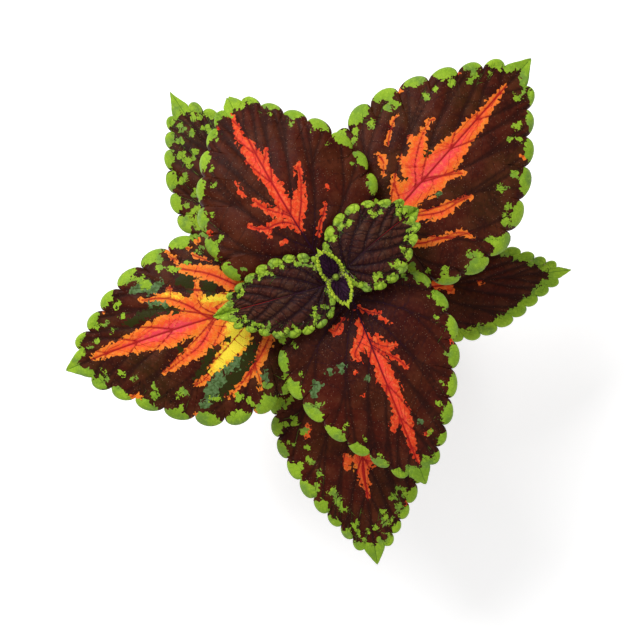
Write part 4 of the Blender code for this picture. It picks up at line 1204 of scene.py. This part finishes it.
STALK_FOOT_RADIUS = 0.0027
STALK_RADIUS = 0.0018
STALK_COLLAR = 0.0008  # straight first length, square to the stem's face
STALK_FLARE = 0.0040  # length over which the foot narrows
STALK_SWING = (0.38, 0.30)  # how far it keeps its first and its last direction, as shares of its reach
RIB_TIP_RADIUS = 0.0005
RIB_SINK = 0.00005
RIB_END = 0.93  # share of the midrib at which the rib under it ends
RIB_STEPS = 40
STALK_STEPS = 28
STALK_SIDES = 14
RIB_IN_GROOVE = 1.4  # its further sinking under a grooved blade, as a share of the groove
STEM_FOOT = 0.0450
STEM_HALF_FOOT = 0.0043
STEM_HALF_TOP = 0.0024
NODE_SWELLING = 0.0006
GAP = 0.0003


def stalk(leaf, material, tree):
    """The round stalk from the stem's face, and the rib that it turns into under the blade."""
    turn = math.radians(leaf.face)
    outwards = np.array([math.cos(turn), math.sin(turn), 0.0])
    share_up = (leaf.node - STEM_FOOT) / (STEM_TOP - STEM_FOOT)
    stem_half = STEM_HALF_FOOT + (STEM_HALF_TOP - STEM_HALF_FOOT) * share_up
    foot = outwards * (stem_half + NODE_SWELLING + GAP) + np.array([0.0, 0.0, leaf.node])
    along = np.linspace(0.0, RIB_END, RIB_STEPS)
    rib_radii = STALK_RADIUS + (RIB_TIP_RADIUS - STALK_RADIUS) * np.sqrt(along / along[-1])
    place, ahead, _, above = midrib(leaf, along)
    rib = place - above * (rib_radii + RIB_SINK + RIB_IN_GROOVE * leaf.groove * GROOVE_DEPTH)[:, None]
    reach = np.linalg.norm(rib[0] - foot)
    share = np.arange(STALK_STEPS) / STALK_STEPS
    collar = foot + outwards * STALK_COLLAR
    first, last = collar + outwards * STALK_SWING[0] * reach, rib[0] - ahead[0] * STALK_SWING[1] * reach
    bend = bezier([collar, first, last, rib[0]], share)
    bend_radii = STALK_RADIUS + (STALK_FOOT_RADIUS - STALK_RADIUS) * np.exp(-share * reach / STALK_FLARE)
    radii = np.concatenate([[STALK_FOOT_RADIUS], bend_radii, rib_radii])
    path = np.column_stack([np.vstack([foot, bend, rib]), radii])
    return tubes(leaf.name + "_stalk", [path], STALK_SIDES, material, tree)


MATURE_AREOLE = 3.0  # millimetres in the flat pattern
YOUNG_AREOLE = 5.2
# The third colour of each body and of each lime is a painted highlight.
MATURE_LEAF = leaf_material("mature_leaf", ("#421509", "#381e08", "#5c2a18"), "#1e0906", 0.35,
                            ("#92b42b", "#7ca028", "#a6c63e"), "#4a6a1c", 0.2, MATURE_AREOLE, 0.8)
YOUNG_LEAF = leaf_material("young_leaf", ("#4a2016", "#3c2212", "#5e3a2b"), "#16060a", 0.9,
                           ("#98b830", "#8aaa2c", "#c0d856"), "#38500f", 0.55, YOUNG_AREOLE, 0.45)
SHOOT_LEAF = leaf_material("shoot_leaf", ("#2c1028", "#230c20", "#42203c"), "#120510", 0.6,
                           ("#bccf3a", "#a6bf30", "#d2de5c"), "#6f8a1c", 0.8, MATURE_AREOLE, 0.6)
LEAF_VEIN = vein_material()
STALK_SKIN = stalk_material()
AREOLES = areole_tree()
TUBES = tube_tree()


def whole_leaf(leaf):
    young = leaf.grain > 1
    piece, surface, flames = blade(leaf, YOUNG_LEAF if young else MATURE_LEAF, AREOLES)
    finish_piece(piece, "leaf", leaf.name)
    greens = green_strokes(leaf, np.random.default_rng(leaf.seed))
    finish_piece(vein_tubes(leaf, surface, flames, greens, LEAF_VEIN, TUBES), "leaf", leaf.name)
    finish_piece(stalk(leaf, STALK_SKIN, TUBES), "leaf", leaf.name)


for each in LEAVES:
    whole_leaf(each)


# Stem: one square green stem flushed purple, swollen at its nodes, with buds above the lower stalks.
# It is the solid's own shape with the stalks' skin.

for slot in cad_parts["stem"].material_slots:
    slot.material = STALK_SKIN


# Shoot tip: two tiny cupped leaves with thick lime margins round a bud. They grow from the stem's top.

SHOOT_BUD = (  # radius and height above the stem's top
    (0.0, 0.0),
    (0.0019, 0.0),
    (0.0022, 0.0015),
    (0.0024, 0.0030),
    (0.00255, 0.0045),
    (0.0026, 0.0060),
    (0.0024, 0.0073),
    (0.0021, 0.0085),
    (0.0016, 0.0097),
    (0.0010, 0.0105),
    (0.0005, 0.0110),
    (0.0, 0.0112),
)
SHOOT = dict(length=0.0215, half_width=(0.0075, 0.0075), pitch=(38.0, -20.0), teeth=11, tooth=0.0011,
             widest=0.38, shoulder=0.22, point=(0.03, 0.03), heart=0.02, fold=0.15, cup=-0.55, wave=0.0,
             thickness=0.0009, curl=(0.0, 0.0), pillow=0.0002, quilt=0.0002, areole=2.9, band=8.0,
             islands=(0.0, 0.5, 0.2), sinus=0.0, puff=0.0012, grain=3.0, rung=2.0, green_tip=0.86,
             fineness=0.5)
SHOOT_LEAVES = (
    Leaf("shoot_leaf_back", STEM_TOP, BACK, base=(-0.0006, 0.0010, 0.2640), heading=124.0,
         tip=0.16, seed=21, **SHOOT),
    Leaf("shoot_leaf_front", STEM_TOP, FRONT, base=(0.0006, -0.0010, 0.2640), heading=292.0,
         tip=0.18, seed=22, **SHOOT),
)


def bud_skin():
    """Folded bud scales: purple-black below, lime where they open, with fine lengthwise lines."""
    material, tree = plain_material("bud_scales")
    place = node(tree, "ShaderNodeTexCoord").outputs["Object"]
    height = node(tree, "ShaderNodeSeparateXYZ", {0: place}).outputs["Z"]
    long = node(tree, "ShaderNodeVectorMath", {0: place, 1: (1.0, 1.0, 0.3)}, operation="MULTIPLY")
    lines = node(tree, "ShaderNodeTexNoise", {"Vector": long, "Scale": 1 / (0.6 * MM), "Detail": 3.0})
    opened = node(tree, "ShaderNodeMapRange", {0: height, 1: STEM_TOP + 0.006, 2: STEM_TOP + 0.011})
    mixed = node(tree, "ShaderNodeMath", {0: opened, 1: lines}, operation="MULTIPLY")
    colour = painted(tree, "#2c1028", (mixed, 0.15, 0.5, "#8fa83a"))
    return finish_material(material, {"Base Color": colour, "Roughness": 0.5, "Specular IOR Level": 0.1},
                           lines, 0.15 * MM)


def shoot_tip():
    for leaf in SHOOT_LEAVES:
        piece, _, _ = blade(leaf, SHOOT_LEAF, AREOLES)
        finish_piece(piece, "young_leaf", "shoot_tip")
    profile = [(radius, STEM_TOP + GAP + rise) for radius, rise in SHOOT_BUD]
    bud = turned("shoot_bud", profile, 24, bud_skin())
    finish_piece(bud, "young_leaf", "shoot_tip")


shoot_tip()


# Hairs: fine colourless hairs on the stem and the stalks, one pointed cell thick.
# They stand out from the skin and lean a little at random.

HAIR_DENSITY = 1.3e6  # a square metre
HAIR_LENGTH = 1.0 * MM
HAIR_WIDTH = 0.035  # radius at the root against its length
HAIR_LEAN = 0.5  # radians
HAIR_SEED = 12


def hair_skin():
    """Clear cell walls: pale, slightly see-through, glossy."""
    material, tree = plain_material("plant_hair")
    place = node(tree, "ShaderNodeTexCoord").outputs["Object"]
    tint = node(tree, "ShaderNodeTexNoise", {"Vector": place, "Scale": 1 / (4 * MM)})
    colour = painted(tree, "#c9a8a4", (tint, 0.0, 1.0, "#e4e2c8"))
    return finish_material(material, {"Base Color": colour, "Roughness": 0.35, "Alpha": 0.7})


def hair_tree():
    """Sows thin cones over a surface, upright on it but for a random lean, and drops the surface."""
    tree, given = new_tree("hairs", Density="Float", Length="Float", Seed="Int")
    spots = node(tree, "GeometryNodeDistributePointsOnFaces",
                 {"Mesh": given["Geometry"], "Density": given["Density"], "Seed": given["Seed"]})
    cone = node(tree, "GeometryNodeMeshCone",
                {"Vertices": 3, "Radius Top": 0.0, "Radius Bottom": HAIR_WIDTH, "Depth": 1.0})
    lean = node(tree, "FunctionNodeRandomValue",
                {0: (-HAIR_LEAN, -HAIR_LEAN, 0.0), 1: (HAIR_LEAN, HAIR_LEAN, FULL_TURN)},
                data_type="FLOAT_VECTOR")
    turn = node(tree, "FunctionNodeRotateRotation", {0: spots.outputs["Rotation"], 1: lean},
                rotation_space="LOCAL")
    spread = node(tree, "FunctionNodeRandomValue", {2: 0.5, 3: 1.2}, data_type="FLOAT").outputs[1]
    size = node(tree, "ShaderNodeMath", {0: spread, 1: given["Length"]}, operation="MULTIPLY")
    copies = node(tree, "GeometryNodeInstanceOnPoints",
                  {"Points": spots, "Instance": cone, "Rotation": turn, "Scale": size})
    return close_tree(tree, given, copies)


def hairs():
    skins = [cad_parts["stem"]] + [bpy.data.objects[leaf.name + "_stalk"] for leaf in LEAVES]
    points, faces = [], []
    for skin in skins:
        faces += [[len(points) + v for v in face.vertices] for face in skin.data.polygons]
        points += [skin.matrix_world @ v.co for v in skin.data.vertices]
    piece = new_piece("fine_hairs", points, faces)
    apply_tree(piece, hair_tree(),
               Density=HAIR_DENSITY, Length=HAIR_LENGTH, Seed=HAIR_SEED, Material=hair_skin())
    finish_piece(piece, "stem")


hairs()


# Studio: a plain pale floor, a soft key light from above and behind, and the camera straight above the plant.

FLOOR_SIZE = 40.0
CAMERA_PLACE = (-0.0097, -0.0260, 1.05)
CAMERA_LENS = 72.6  # millimetres, like the width of its sensor
SENSOR_WIDTH = 36.0
WHITE = (1.0, 1.0, 1.0, 1.0)
FLOOR_GLOW = 0.38
SKY_STRENGTH = 0.5
LIGHT_AIM = (0.0, 0.0, 0.2)
LIGHTS = (  # place, size and watts
    ("key", (-0.75, 0.85, 1.5), 0.7, 23.0),
    ("fill", (0.9, -0.7, 1.5), 1.3, 4.0),
)


def studio():
    half = FLOOR_SIZE / 2
    board, _ = plain_material("studio_floor")
    finish_material(board, {"Base Color": linear("#f6f6f6"), "Roughness": 0.9,
                            "Emission Color": WHITE, "Emission Strength": FLOOR_GLOW})
    corners = [(-half, -half, 0), (half, -half, 0), (half, half, 0), (-half, half, 0)]
    new_piece("studio_floor", corners, [(0, 1, 2, 3)], board)
    world = bpy.data.worlds.new("soft_room")
    world.use_nodes = True
    sky = world.node_tree
    fill(sky, sky.nodes["Background"], {"Color": WHITE, "Strength": SKY_STRENGTH})
    bpy.context.scene.world = world
    bpy.context.scene.view_settings.view_transform = "Standard"
    for name, place, size, power in LIGHTS:
        light = bpy.data.lights.new(name, "AREA")
        light.size = size
        light.energy = power
        lamp = bpy.data.objects.new(name, light)
        lamp.location = place
        lamp.rotation_euler = (Vector(LIGHT_AIM) - Vector(place)).to_track_quat("-Z", "Y").to_euler()
        bpy.context.scene.collection.objects.link(lamp)
    camera = bpy.data.cameras.new("camera")
    camera.lens = CAMERA_LENS
    camera.sensor_width = SENSOR_WIDTH
    eye = bpy.data.objects.new("camera", camera)
    eye.location = CAMERA_PLACE
    bpy.context.scene.collection.objects.link(eye)
    bpy.context.scene.camera = eye


studio()
